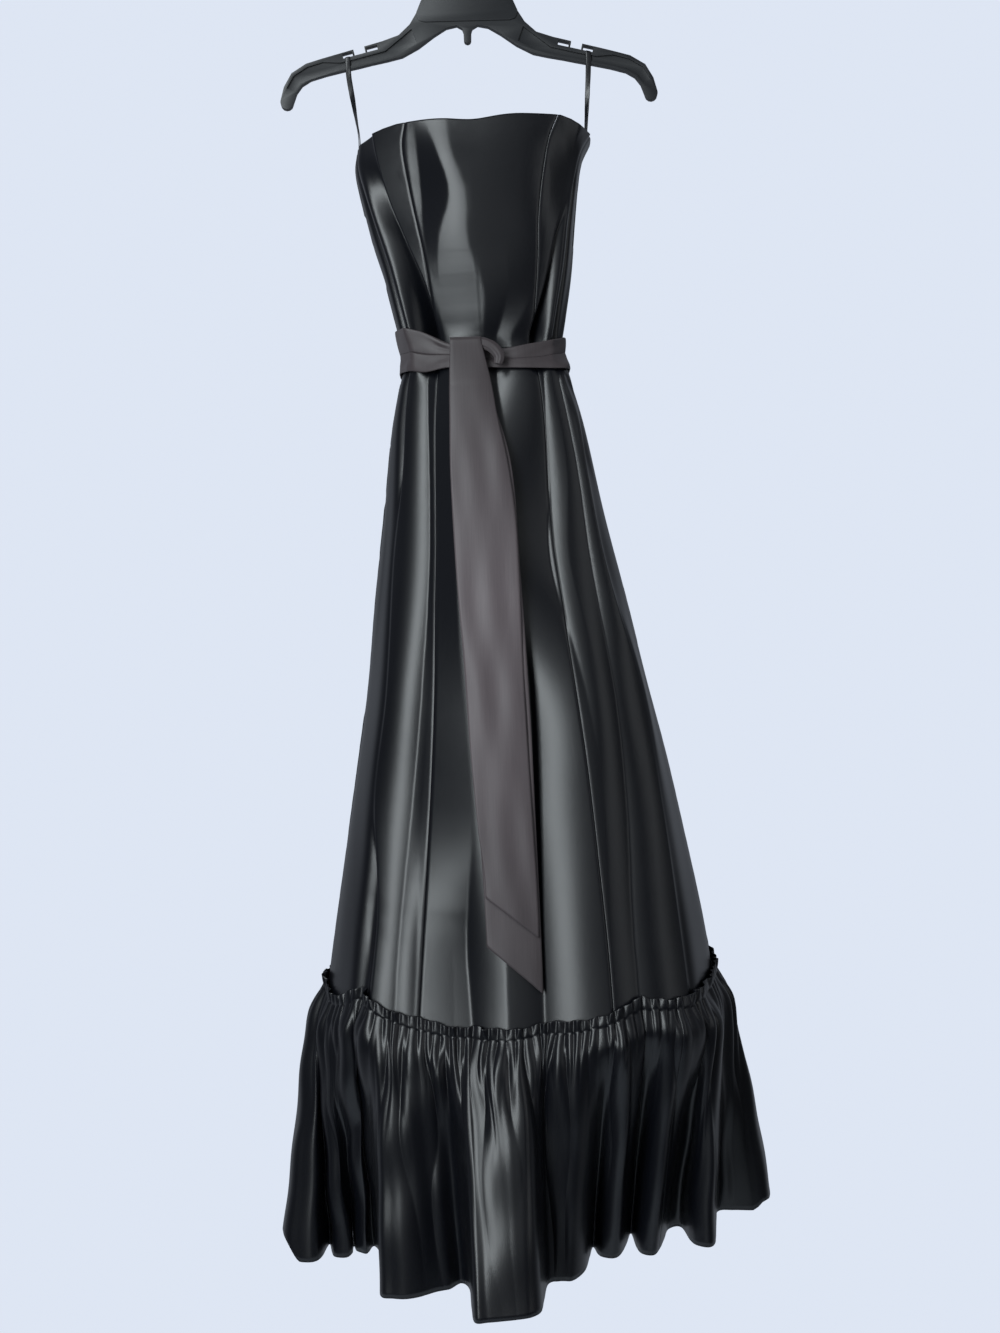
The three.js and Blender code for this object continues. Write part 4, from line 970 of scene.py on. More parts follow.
@dataclass(frozen=True)
class CoatedMetal:
    """Cast metal under dark lacquer, worn a little brighter."""

    name: str
    dark: tuple[float, float, float, float]
    worn: tuple[float, float, float, float]
    roughness: float

    def make(self) -> bpy.types.Material:
        """Build the material.

        Returns:
            The material.
        """
        shader = Shader(self.name)
        place = shader.node("ShaderNodeTexCoord", {}, {}).part("Object")
        wear = shader.noise(place, (420.0, 420.0, 420.0), 3.0)
        shader.set(Base_Color=shader.mix(wear, self.dark, self.worn), Metallic=0.8)
        shader.set(Roughness=wear * 0.2 + self.roughness)
        shader.set(Normal=shader.bump(shader.noise(place, (3000.0, 3000.0, 3000.0)), 0.00004, 0.4))
        return shader.material


@dataclass(frozen=True)
class Panel:
    """One cut panel of the bodice or the skirt."""

    node: str
    columns: int
    cut: Cut


@dataclass
class Bodice:
    """The fitted top: five panels with princess seams, and the fold of its top edge."""

    form: DressForm
    rows: int = 76
    wall: float = 1.0
    # x and how much lower the top edge lies there, at the front's corners
    corner_drop: tuple[tuple[float, float], ...] = (
        (-132, 7), (-124, 8), (-112, 6), (-95, 2), (-80, 0), (100, 0), (112, 3), (124, 8), (136, 8),
    )
    panels: tuple[Panel, ...] = (
        Panel("bodice_back_left", 120, Cut(0.165, 0.245, 0.0355)),
        Panel("bodice_side_front_left", 130, Cut(0.130, 0.256, 0.0310)),
        Panel("bodice_front", 130, Cut(0.175, 0.252, 0.0365)),
        Panel("bodice_side_front_right", 110, Cut(0.118, 0.254, 0.0275)),
        Panel("bodice_back_right", 120, Cut(0.165, 0.245, 0.0355)),
    )

    def grid(self, number: int) -> Grid:
        """Work out one panel.

        Args:
            number: which panel, from the centre back leftwards.

        Returns:
            Its grid.
        """
        columns = self.panels[number].columns
        t = np.linspace(0.0, 1.0, columns + 1)
        points, cloth = [], []
        for s in np.linspace(0.0, 1.0, self.rows + 1) ** 1.15:
            z = NECK_Z + (WAIST_Z - NECK_Z) * s
            row, lengths = self.form.row(z, number, t, above=True)
            x, y = row[:, 0], row[:, 1]
            back_dip = 10 * smooth((y - SIDE_DEPTH) / 40)
            front_dip = 3 * (np.exp(-(((x - 2) / 26) ** 2)) - smooth(x / 60)) * frontness(row, BODICE_FRONT)
            corners = np.interp(x, *np.array(self.corner_drop).T) * smooth((SIDE_DEPTH + 30 - y) / 30)
            row[:, 2] += s * SEAM_GAP / 2 - (back_dip + front_dip) * (1 - s) - corners * (1 - s) ** 3
            points.append(row)
            cloth.append(np.column_stack([lengths, np.full(len(t), -z)]) * MM)
        return Grid(open_seams(np.array(points), 0.1), np.array(cloth))

    def build(self, workshop: Workshop, satin: bpy.types.Material) -> None:
        """Make the panels.

        Args:
            workshop: makes the objects.
            satin: their finish.
        """
        for number, panel in enumerate(self.panels):
            workshop.sew(
                panel.node, self.grid(number), self.wall, satin, "black_satin", Held.HUNG
            )


@dataclass
class Skirt:
    """The five gores of the skirt."""

    form: DressForm
    rows: int = 96
    wall: float = 0.8
    # x and how much higher the front's lower edge hangs there
    edge_sway: tuple[tuple[float, float], ...] = (
        (-190, -8), (-172, -6), (-150, 12), (-134, 17), (-112, 5), (-81, -5), (-40, -14), (0, -15), (77, -8),
        (120, 0), (156, 9), (200, 2), (240, -4),
    )
    panels: tuple[Panel, ...] = (
        Panel("skirt_back_left", 130, Cut(0.265, 0.706, 0.142)),
        Panel("skirt_side_front_left", 150, Cut(0.207, 0.734, 0.118)),
        Panel("skirt_front", 180, Cut(0.254, 0.742, 0.139)),
        Panel("skirt_side_front_right", 150, Cut(0.217, 0.723, 0.115)),
        Panel("skirt_back_right", 130, Cut(0.260, 0.700, 0.137)),
    )

    def drop(self, points: np.ndarray, t: float) -> np.ndarray:
        """Say how much lower or higher than their ring the cloth's points hang."""
        slant = 10 + 0.045 * (points[:, 0] - 32)
        uneven = np.interp(points[:, 0], *np.array(self.edge_sway).T) * smooth((SIDE_DEPTH - points[:, 1]) / 25)
        return t * t * (slant - 36 * frontness(points, HEADING_FRONT)) + t**3 * uneven

    def row(self, t: float, panel: int, across: np.ndarray, sewn: bool = True) -> tuple[np.ndarray, np.ndarray]:
        """Give one row of a gore.

        Args:
            t: way down, from 0 to 1.
            panel: which gore.
            across: places across it, from 0 to 1.
            sewn: whether the cloth sinks at the seams.

        Returns:
            The points, and their running lengths.
        """
        z = WAIST_Z + (HEADING_Z - WAIST_Z) * t**1.15
        row, lengths = self.form.row(z, panel, across, sewn)
        row[:, 2] += self.drop(row, t) - (1 - t) * SEAM_GAP / 2
        return row, lengths

    def grid(self, number: int) -> Grid:
        """Work out one gore.

        Args:
            number: which gore, from the centre back leftwards.

        Returns:
            Its grid.
        """
        across = np.linspace(0.0, 1.0, self.panels[number].columns + 1)
        points, cloth = [], []
        for t in np.linspace(0.0, 1.0, self.rows + 1):
            row, lengths = self.row(float(t), number, across)
            points.append(row)
            cloth.append(np.column_stack([lengths, -row[:, 2]]) * MM)
        return Grid(open_seams(np.array(points), 0.1), np.array(cloth))

    def build(self, workshop: Workshop, satin: bpy.types.Material) -> None:
        """Make the gores.

        Args:
            workshop: makes the objects.
            satin: their finish.
        """
        for number, panel in enumerate(self.panels):
            workshop.sew(
                panel.node, self.grid(number), self.wall, satin, "black_satin", Held.HUNG
            )


@dataclass
class Flounce:
    """The gathered strip at the hem, with its standing frill."""

    skirt: Skirt
    rows: int = 62
    steps: int = 6
    wall: float = 0.7
    frill_height: float = 13.0
    side_shift: int = 50
    column_counts: tuple[int, ...] = (25, 19, 24, 19, 25)
    # the hem's path across the front, from the left side: x and y, with the count of half gathers reached at
    # the hollows and crests, and -1 at the points between them
    front_path: tuple[tuple[float, float, float], ...] = (
        (-243, 24, 0), (-246, -5, -1), (-240, -34, 5), (-227, -45, -1), (-208, -51, -1), (-199, -38, -1),
        (-195, 0, 10), (-189, -26, -1), (-184, -41, -1), (-172, -47, 14), (-166, -40, -1), (-163, -15, 18),
        (-159, -30, -1), (-149, -40, 21), (-144, -34, -1), (-140, -22, 24), (-131, -60, -1), (-128, -140, -1),
        (-124, -165, 30), (-112, -171, -1), (-98, -175, -1), (-82, -172, -1), (-66, -163, 38), (-52, -160, -1),
        (-40, -148, 44), (-31, -165, -1), (-28, -212, -1), (-24, -250, 50), (-10, -254, -1), (6, -255, 57),
        (22, -254, -1), (34, -250, 63), (43, -238, -1), (47, -208, -1), (52, -172, 68),
        (64, -166, -1), (78, -168, 78), (92, -146, -1), (99, -110, -1), (104, -84, 84), (108, -104, -1),
        (113, -114, -1), (124, -120, 89), (132, -112, -1), (141, -84, -1), (148, -56, 94), (151, -96, -1),
        (156, -116, -1), (168, -123, 99), (176, -106, -1), (183, -80, -1), (190, -54, 104), (203, -50, -1),
        (208, -90, -1), (214, -106, -1), (227, -114, 110), (236, -100, -1), (242, -60, -1), (250, -14, 116),
        (268, -15, -1), (290, -22, 122), (308, -18, -1),
    )
    front_gathers: int = 124
    # middle and half width, in half gathers, of the fold that hangs smooth
    smooth_fold: tuple[float, float] = (104.0, 15.0)
    back_gathers: tuple[int, ...] = (4, 5, 4, 5, 5, 4, 5, 4, 5, 4, 5)
    back_span: tuple[float, float] = (316.0, -246.0)
    back_depths: tuple[float, float] = (62.0, 30.0)
    # way down, way out to the hem's form, and puff
    profile: tuple[tuple[float, ...], ...] = (
        (0, 0, 0),
        (0.09, 0.06, 8),
        (0.27, 0.26, 9),
        (0.5, 0.52, 6),
        (0.75, 0.78, 3),
        (1, 1, 0),
    )
    panels: tuple[tuple[str, int, int, Cut], ...] = (
        ("flounce_left", 12, 34, Cut(0.43, 0.31)),
        ("flounce_front", 34, 75, Cut(0.82, 0.31)),
        ("flounce_right", 75, 99, Cut(0.47, 0.31)),
        ("flounce_back", 99, 124, Cut(0.45, 0.31)),
    )

    def hem_path(self) -> np.ndarray:
        """Give the hem's path all round as rows of x, y and half gathers, from the left side across the front."""
        right, left = self.back_span
        crest, hollow = self.back_depths
        count = len(self.back_gathers)
        step = (left - right) / count
        behind, reached = [], self.front_gathers
        for k, gathers in enumerate(self.back_gathers):
            sway = math.sin(2.4 * k + 0.7)
            rounding = 16 * (abs(k + 0.5 - count / 2) / (count / 2)) ** 3
            start, top = right + step * k, right + step * (k + 0.5) + 5 * sway
            low, high = hollow + 7 * sway - rounding, crest - 4 * abs(sway) - rounding
            behind += [(start, low, reached), (start + 0.28 * (top - start), low + 0.3 * (high - low), -1)]
            behind += [(start + 0.7 * (top - start), low + 0.93 * (high - low), -1), (top, high, reached + gathers)]
            behind += [(top + 0.3 * (top - start), high - 0.1 * (high - low), -1)]
            reached += 2 * gathers
        path = np.array([*self.front_path, *behind], float)
        steps = np.hypot(np.diff(path[:, 0]), np.diff(path[:, 1]))
        run = np.concatenate(([0.0], np.cumsum(steps)))
        fixed = path[:, 2] >= 0
        total = np.append(run, run[-1] + math.hypot(*(path[0, :2] - path[-1, :2])))
        path[:, 2] = np.interp(run, np.append(run[fixed], total[-1]), np.append(path[fixed, 2], HALF_GATHERS))
        return path

    def hem(self, at: np.ndarray) -> np.ndarray:
        """Give points of the hem.

        Args:
            at: places round it in half gathers, from the left side.

        Returns:
            One point for each place.
        """
        path = self.hem_path()
        stops = np.append(path[:, 2], HALF_GATHERS)
        flat = loop_through(path[:, :2], np.interp(np.mod(at, HALF_GATHERS), stops, np.arange(len(stops))))
        x = flat[:, 0]
        turned_up = 27 * smooth((-222 - x) / 22) + 10 * smooth((x - 290) / 14)
        return np.column_stack([flat, -1485 + 0.069 * (x - 18) - 12 * frontness(flat, HEM_FRONT) + turned_up])

    def stitches(self) -> tuple[np.ndarray, np.ndarray]:
        """Give the stitch line in half gathers from the centre back, and its outward directions."""
        edge = []
        for panel, count in enumerate(self.column_counts):
            across = np.arange(count) / count
            edge.append(self.skirt.row(1.0, panel, across, sewn=False)[0])
        loop = np.concatenate(edge)
        halved = np.empty((2 * len(loop), 3))
        halved[0::2] = loop
        halved[1::2] = (loop + np.roll(loop, -1, axis=0)) / 2
        return halved, outward_of(halved)

    def waves(self, at: np.ndarray, down: float) -> np.ndarray:
        """Give the gathers' wave, 0 in a hollow and about 1 on a crest, each gather with its own strength.

        Args:
            at: places in half gathers from the centre back.
            down: way down from the stitches.

        Returns:
            One height for each place.
        """
        wander = 1.1 * ripples(at, np.full(len(at), down * 40), 21, 11, 30)
        place = at / 2 + 0.5 * wander * min(down * 5, 1.0)
        gather = np.floor(place).astype(int) % (HALF_GATHERS // 2)
        strength = np.random.default_rng(4).uniform(0.3, 1.5, HALF_GATHERS // 2)
        reach = np.random.default_rng(8).uniform(0.03, 0.16, HALF_GATHERS // 2)
        fade = np.exp(-max(down - 0.05, 0.0) / reach)
        crest = np.abs(np.sin(math.pi * place)) ** 0.9
        return crest * (1.1 + 0.4 * np.sin(1.7 * place)) * (strength * fade)[gather]

    def joined(self, at: np.ndarray, down: float) -> np.ndarray:
        """Give the wave of the wider folds that the gathers run into.

        Args:
            at: places in half gathers from the centre back.
            down: way down from the stitches.

        Returns:
            One height for each place.
        """
        wander = ripples(at, np.full(len(at), down * 60), 27, 17, 60)
        place = at / 5 + 0.45 * wander
        fold = np.floor(place).astype(int) % 46
        strength = np.random.default_rng(14).uniform(0.3, 1.4, 46)
        reach = np.random.default_rng(18).uniform(0.15, 0.7, 46)
        fade = np.exp(-max(down - 0.15, 0.0) / reach) * smooth(down / 0.12)
        return np.abs(np.sin(math.pi * place)) ** 0.9 * (strength * fade)[fold]

    def grid(self, start: int, end: int) -> Grid:
        """Work out a length of the strip.

        Args:
            start: its first gather from the centre back.
            end: its last.

        Returns:
            Its grid, from the frill's top down to the hem.
        """
        at = np.linspace(2 * start, 2 * end, 2 * (end - start) * self.steps + 1)
        loop, outward = self.stitches()
        stitch, out = loop_through(loop, at), loop_through(outward, at)
        out /= np.linalg.norm(out, axis=1, keepdims=True)
        hem = self.hem(at - self.side_shift)
        clear = CLOTH_WALL + SEAM_GAP + 0.2
        joins = (2 * self.panels[0][1], 2 * self.panels[-1][2])
        apart = smooth(np.minimum(np.abs(at - joins[0]), np.abs(at - joins[1])) / 8)
        profile = np.array(self.profile)
        middle, wide = self.smooth_fold
        points = []
        frill_rows = 10
        for k in range(frill_rows):
            up = 1 - k / frill_rows
            wave = self.waves(at, 0.0) * apart
            lean = (4.0 * (wave - 0.42) + 0.8 * np.sin(0.9 * at) * apart) * up**0.8 + 4.0 * (up**0.35 - up)
            height = self.frill_height + (1.2 * np.sin(0.37 * at) + 0.8 * np.sin(1.3 * at)) * apart
            row = stitch + out * (clear + lean)[:, None]
            row[:, 2] += 4 + height * up
            points.append(row)
        for t in np.linspace(0.0, 1.0, self.rows + 1):
            down = t**1.25
            way, puff = (
                float(curve_through(profile[:, 0], profile[:, n], np.array([down]))[0]) for n in (1, 2)
            )
            row = np.column_stack([
                stitch[:, :2] + (hem[:, :2] - stitch[:, :2]) * way,
                stitch[:, 2] + 4 + (hem[:, 2] - stitch[:, 2] - 4) * down,
            ])
            lift = (1 - down) * clear + puff + 2.6 * self.waves(at, down) * apart
            calm = smooth((down - 0.15) / 0.25) * np.exp(-(((np.mod(at, HALF_GATHERS) - middle) / wide) ** 4))
            lift = lift + 6.0 * self.joined(at, down) * (1 - 0.85 * calm) * apart
            lift = lift + 1.8 * smooth(down / 0.3) * ripples(at * 5, row[:, 2], 33, 80, 130) * apart
            points.append(row + out * lift[:, None])
        made = open_seams(np.array(points), 0.05)
        cloth = np.stack(np.broadcast_arrays(at[None, :] * 10.8, -made[:, :, 2]), axis=-1) * MM
        return Grid(made, cloth)

    def build(self, workshop: Workshop, satin: bpy.types.Material) -> None:
        """Make the strip's four lengths.

        Args:
            workshop: makes the objects.
            satin: their finish.
        """
        for node, start, end, cut in self.panels:
            grid, held_by = self.grid(start, end), ["skirt_front_satin"]
            workshop.sew(node, grid, self.wall, satin, "black_satin", Held.GATHERED)


def taut_outline(points: np.ndarray) -> np.ndarray:
    """Give the convex outline of points, rows of x and y."""
    ordered = sorted({(float(x), float(y)) for x, y in points})

    def chain(row: list[tuple[float, float]]) -> list[tuple[float, float]]:
        """Give one half of the outline."""
        hull: list[tuple[float, float]] = []
        for point in row:
            while len(hull) > 1:
                (ax, ay), (bx, by) = hull[-2], hull[-1]
                if (bx - ax) * (point[1] - ay) - (by - ay) * (point[0] - ax) > 0:
                    break
                hull.pop()
            hull.append(point)
        return hull[:-1]

    return np.array(chain(ordered) + chain(ordered[::-1]))


@dataclass
class Sash:
    """The strip round the waist in two tiers, its knot and its two hanging tails."""

    form: DressForm
    skirt: Skirt
    wall: float = 1.3
    angles: int = 260
    tier_rows: int = 14
    rest: float = 1.9
    # x, then the heights of the top edge, the crease and the lower edge across the front
    front_heights: tuple[tuple[float, ...], ...] = (
        (-88, -457, -483, -504),
        (-55, -468, -493, -513),
        (-28, -484, -496, -511),
        (26, -492, -503, -513),
        (62, -486, -502, -514),
        (84, -481, -498, -514),
        (103, -474, -491, -510),
    )
    back_heights: tuple[float, float, float] = (-464, -487, -507)
    # height, left edge and right edge of each tail
    front_tail: tuple[tuple[float, ...], ...] = (
        (-486, -27, 7),
        (-530, -29, 17),
        (-570, -29.5, 23),
        (-620, -30, 33),
        (-680, -28.5, 39.5),
        (-740, -26, 41.5),
        (-830, -20.5, 43),
        (-920, -16, 45.5),
        (-1010, -9.5, 49),
        (-1062, -4, 51),
        (-1106, -3, 52),
    )
    front_end: tuple[float, float] = (-1085, -1128)
    back_tail: tuple[tuple[float, ...], ...] = (
        (-503, -14, 9),
        (-530, -14, 13),
        (-620, -22, 36),
        (-740, -22, 43),
        (-880, -14, 49),
        (-1010, -8, 52),
        (-1105, -4, 54),
        (-1161, -3, 55),
    )
    back_end: tuple[float, float] = (-1136, -1186)
    tails_reach: tuple[float, float] = (-31, 57)
    knot_route: tuple[tuple[float, ...], ...] = (
        (-16, -489), (2, -486.5), (17, -491), (26, -501), (25, -511),
    )

    def waist_radii(self, heights: np.ndarray, angles: np.ndarray) -> np.ndarray:
        """Give how far from the waist's middle the dress's taut outline lies.

        Args:
            heights: rising heights.
            angles: directions from the waist's middle.

        Returns:
            One row for each height.
        """
        across = np.linspace(0.0, 1.0, 61)
        table = []
        for z in heights:
            loops = [
                self.form.row(float(z + near), panel, across, above=z > WAIST_Z)[0][:, :2]
                for near in (-2, 0, 2) for panel in range(5)
            ]
            hull = taut_outline(np.concatenate(loops)) - (WAIST_MIDDLE, SIDE_DEPTH)
            after = np.roll(hull, -1, axis=0)
            edge = after - hull
            ray = np.column_stack([np.cos(angles), np.sin(angles)])
            det = ray[:, None, 0] * edge[None, :, 1] - ray[:, None, 1] * edge[None, :, 0]
            det = np.where(np.abs(det) < 1e-9, 1e-9, det)
            reach = (hull[None, :, 0] * edge[None, :, 1] - hull[None, :, 1] * edge[None, :, 0]) / det
            place = (hull[None, :, 0] * ray[:, None, 1] - hull[None, :, 1] * ray[:, None, 0]) / det
            meets = (reach > 0) & (place >= -1e-6) & (place <= 1 + 1e-6)
            table.append(np.max(np.where(meets, reach, 0.0), axis=1))
        return np.array(table)

    def edge_height(self, edge: int, x: np.ndarray, y: np.ndarray) -> np.ndarray:
        """Give the height of one edge of the sash at points of the waist."""
        table = np.array(self.front_heights)
        front = curve_through(table[:, 0], table[:, edge], np.clip(x, table[0, 0], table[-1, 0]))
        return front + (self.back_heights[edge - 1] - front) * smooth((y - SIDE_DEPTH) / 30)

    def tier(self, upper: int, bulge: float) -> Grid:
        """Work out one tier of the sash.

        Args:
            upper: the column of its upper edge: 1 for the top tier, 2 for the lower.
            bulge: how far its middle stands out.

        Returns:
            Its grid, closed round the waist.
        """
        angles = -math.pi / 2 + np.linspace(0, 2 * math.pi, self.angles, endpoint=False)[::-1]
        heights = np.arange(-522.0, -450.0, 3.0)
        radii = self.waist_radii(heights, angles)
        middle = np.array([np.interp(WAIST_Z, heights, radii[:, k]) for k in range(len(angles))])
        x = WAIST_MIDDLE + middle * np.cos(angles)
        y = SIDE_DEPTH + middle * np.sin(angles)
        top, low = self.edge_height(upper, x, y), self.edge_height(upper + 1, x, y)
        top, low = top - (upper == 2) * SEAM_GAP / 2, low + (upper == 1) * SEAM_GAP / 2
        points, cloth = [], []
        for t in np.linspace(0.0, 1.0, self.tier_rows + 1):
            z = top + (low - top) * t
            reach = np.array([np.interp(z[k], heights, radii[:, k]) for k in range(len(angles))])
            soft = ripples(angles * 90, np.full(len(angles), 60 * t), 40 + upper, 60, 70)
            lift = self.rest + bulge * (4 * t * (1 - t)) ** 0.6 + 0.35 * soft * math.sin(math.pi * t)
            if upper == 1:
                twist = np.exp(-(((x + 38) / 11) ** 2)) * (y < SIDE_DEPTH)
                lift -= 2.2 * twist * math.exp(-(((t - 0.5) / 0.22) ** 2))
                lift += 0.9 * twist * math.exp(-(((t - 0.12) / 0.1) ** 2))
            radius = reach + lift
            points.append(np.column_stack([
                WAIST_MIDDLE + radius * np.cos(angles), SIDE_DEPTH + radius * np.sin(angles), z,
            ]))
            cloth.append(np.column_stack([angles * -90, -z]) * MM)
        return Grid(np.array(points), np.array(cloth))

    def skirt_front(self, x_edges: np.ndarray, z_edges: np.ndarray) -> np.ndarray:
        """Give the foremost cloth of the skirt under the tails, for bands of height.

        Args:
            x_edges: the reach across.
            z_edges: rising heights.

        Returns:
            The smallest y about each height.
        """
        points = np.concatenate([self.skirt.grid(number).points.reshape(-1, 3) for number in (1, 2, 3)])
        inside = points[(points[:, 0] > x_edges[0]) & (points[:, 0] < x_edges[-1])]
        front = []
        for z in z_edges:
            near = inside[np.abs(inside[:, 2] - z) < 12]
            front.append(near[:, 1].min() if len(near) else np.nan)
        front = np.array(front)
        good = ~np.isnan(front)
        return np.interp(z_edges, z_edges[good], front[good])

    def tail(
        self, rows: tuple[tuple[float, ...], ...], end: tuple[float, float], lift: float, start_y: float, seed: int
    ) -> Grid:
        """Work out one tail, which falls from the knot and lies on the skirt.

        Args:
            rows: its edges at each height.
            end: heights of its slanted end's left and right corners.
            lift: how far it lies off the skirt.
            start_y: where its top hangs.
            seed: which ripples it has.

        Returns:
            Its grid.
        """
        table = np.array(rows)[::-1]
        heights = np.arange(-1230.0, -490.0, 5.0)
        under = self.skirt_front(np.array(self.tails_reach, float), heights)
        kernel = np.ones(9) / 9
        under = np.convolve(np.pad(under, 4, mode="edge"), kernel, mode="valid") - 0.6
        across = np.linspace(0.0, 1.0, 29)
        top = rows[0][0]
        points, cloth = [], []
        for s in np.linspace(0.0, 1.0, 161):
            low = end[0] + (end[1] - end[0]) * across
            z = top + (low - top) * s
            left = curve_through(table[:, 0], table[:, 1], z)
            right = curve_through(table[:, 0], table[:, 2], z)
            x = left + (right - left) * across
            resting = np.interp(z, heights, under) - lift
            hanging = start_y + 0.1 * (top - z)
            blend = smooth((top - z) / 150)
            y = np.minimum(resting, hanging * (1 - blend) + resting * blend)
            bow = 1.5 * np.sin(math.pi * across) * min(12 * s, 1.0)
            soft = ripples(x, z, seed, 48, 170) * 1.5 * min(6 * s, 1.0)
            curl = 0.9 * np.exp(-((across / 0.06) ** 2)) + 0.9 * np.exp(-(((1 - across) / 0.06) ** 2))
            points.append(np.column_stack([x, y - bow - soft * 0.6 + curl * 0.5, z]))
            cloth.append(np.column_stack([x, -z]) * MM)
        return Grid(np.array(points), np.array(cloth))

    def turn_over(self, grid: Grid, band_y: float) -> Grid:
        """Roll the front tail's top back over the sash, down behind its top edge.

        Args:
            grid: the tail.
            band_y: where the tail's inner side meets the sash.

        Returns:
            The grid with the rolled rows above it.
        """
        first, flat = grid.points[0], grid.cloth[0]
        radius = (band_y - first[:, 1].mean()) / 2
        points, cloth = [], []
        for turn in np.linspace(math.pi * 0.86, 0.0, 10, endpoint=False):
            row = first.copy()
            row[:, 1] = first[:, 1] + radius * (1 - np.cos(turn))
            row[:, 2] = first[:, 2] + radius * 0.8 * math.sin(turn)
            points.append(row)
            cloth.append(flat - (0.0, radius * turn * MM))
        return Grid(np.concatenate([points, grid.points]), np.concatenate([cloth, grid.cloth]))

    def knot(self, middle_y: float) -> tuple[np.ndarray, list[tuple[int, ...]]]:
        """Work out the rolled turn of the knot.

        Args:
            middle_y: how far forward its middle lies.

        Returns:
            Points and faces of the closed roll.
        """
        route = np.array(self.knot_route, float)
        stations = np.linspace(0, len(route) - 1, 40)
        centre = np.column_stack([curve_through(np.arange(len(route)), route[:, n], stations) for n in (0, 1)])
        along = np.gradient(centre, axis=0)
        along /= np.linalg.norm(along, axis=1, keepdims=True)
        sides = 36
        turn = 2 * math.pi * np.arange(sides) / sides
        points = []
        for k, t in enumerate(np.linspace(0, 1, len(stations))):
            taper = 0.70 + 0.28 * math.sin(math.pi * t)
            pleats = 1 + 0.07 * np.cos(7 * turn + 2.5 * t) + 0.04 * np.cos(12 * turn - 4 * t)
            wide = 6.3 * taper * pleats * np.cos(turn)
            deep = 3.1 * taper * pleats * np.sin(turn)
            normal = np.array([-along[k, 1], along[k, 0]])
            points.append(np.column_stack([
                centre[k, 0] + normal[0] * wide, middle_y + deep, centre[k, 1] + normal[1] * wide,
            ]))
        faces = []
        rows = len(points)
        for r in range(rows - 1):
            for c in range(sides):
                n = (c + 1) % sides
                faces.append((r * sides + c, r * sides + n, (r + 1) * sides + n, (r + 1) * sides + c))
        faces.append(tuple(range(sides))[::-1])
        faces.append(tuple((rows - 1) * sides + c for c in range(sides)))
        return np.concatenate(points), faces

    def build(self, workshop: Workshop, satin: bpy.types.Material) -> None:
        """Make the tiers, the knot and the tails.

        Args:
            workshop: makes the objects.
            satin: their finish.
        """
        tiers = (
            ("sash_band_upper", self.tier(1, 1.1), Cut(0.580, 0.024)),
            ("sash_band_lower", self.tier(2, 0.8), Cut(0.570, 0.021)),
        )
        for node, grid, cut in tiers:
            workshop.sew(node, grid, self.wall, satin, "sash_satin", Held.FOLDED)
        band_y = min(grid.points[:, :, 1].min() for _, grid, _ in tiers)
        knot_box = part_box("sash_knot")
        middle = (knot_box[0].y + knot_box[1].y) / 2 / MM
        points, faces = self.knot(middle)
        obj = workshop.mesh_object("sash_knot_satin", points, faces)
        workshop.face_outwards(obj)
        workshop.map_cloth(obj)
        workshop.hand_over(obj, satin, "sash_satin", nodes=("sash_knot",))
        front_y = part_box("sash_tail_front")[1].y / MM
        back = self.tail(self.back_tail, self.back_end, self.wall + 0.8, band_y - SEAM_GAP - self.wall, 71)
        front = self.tail(self.front_tail, self.front_end, 2 * self.wall + 2.4, front_y - self.wall, 72)
        front = self.turn_over(front, band_y - SEAM_GAP)
        for node, grid, cut in (
            ("sash_tail_front", front, Cut(0.072, 0.66)),
            ("sash_tail_back", back, Cut(0.072, 0.69)),
        ):
            workshop.sew(node, grid, self.wall, satin, "sash_satin", Held.HUNG)


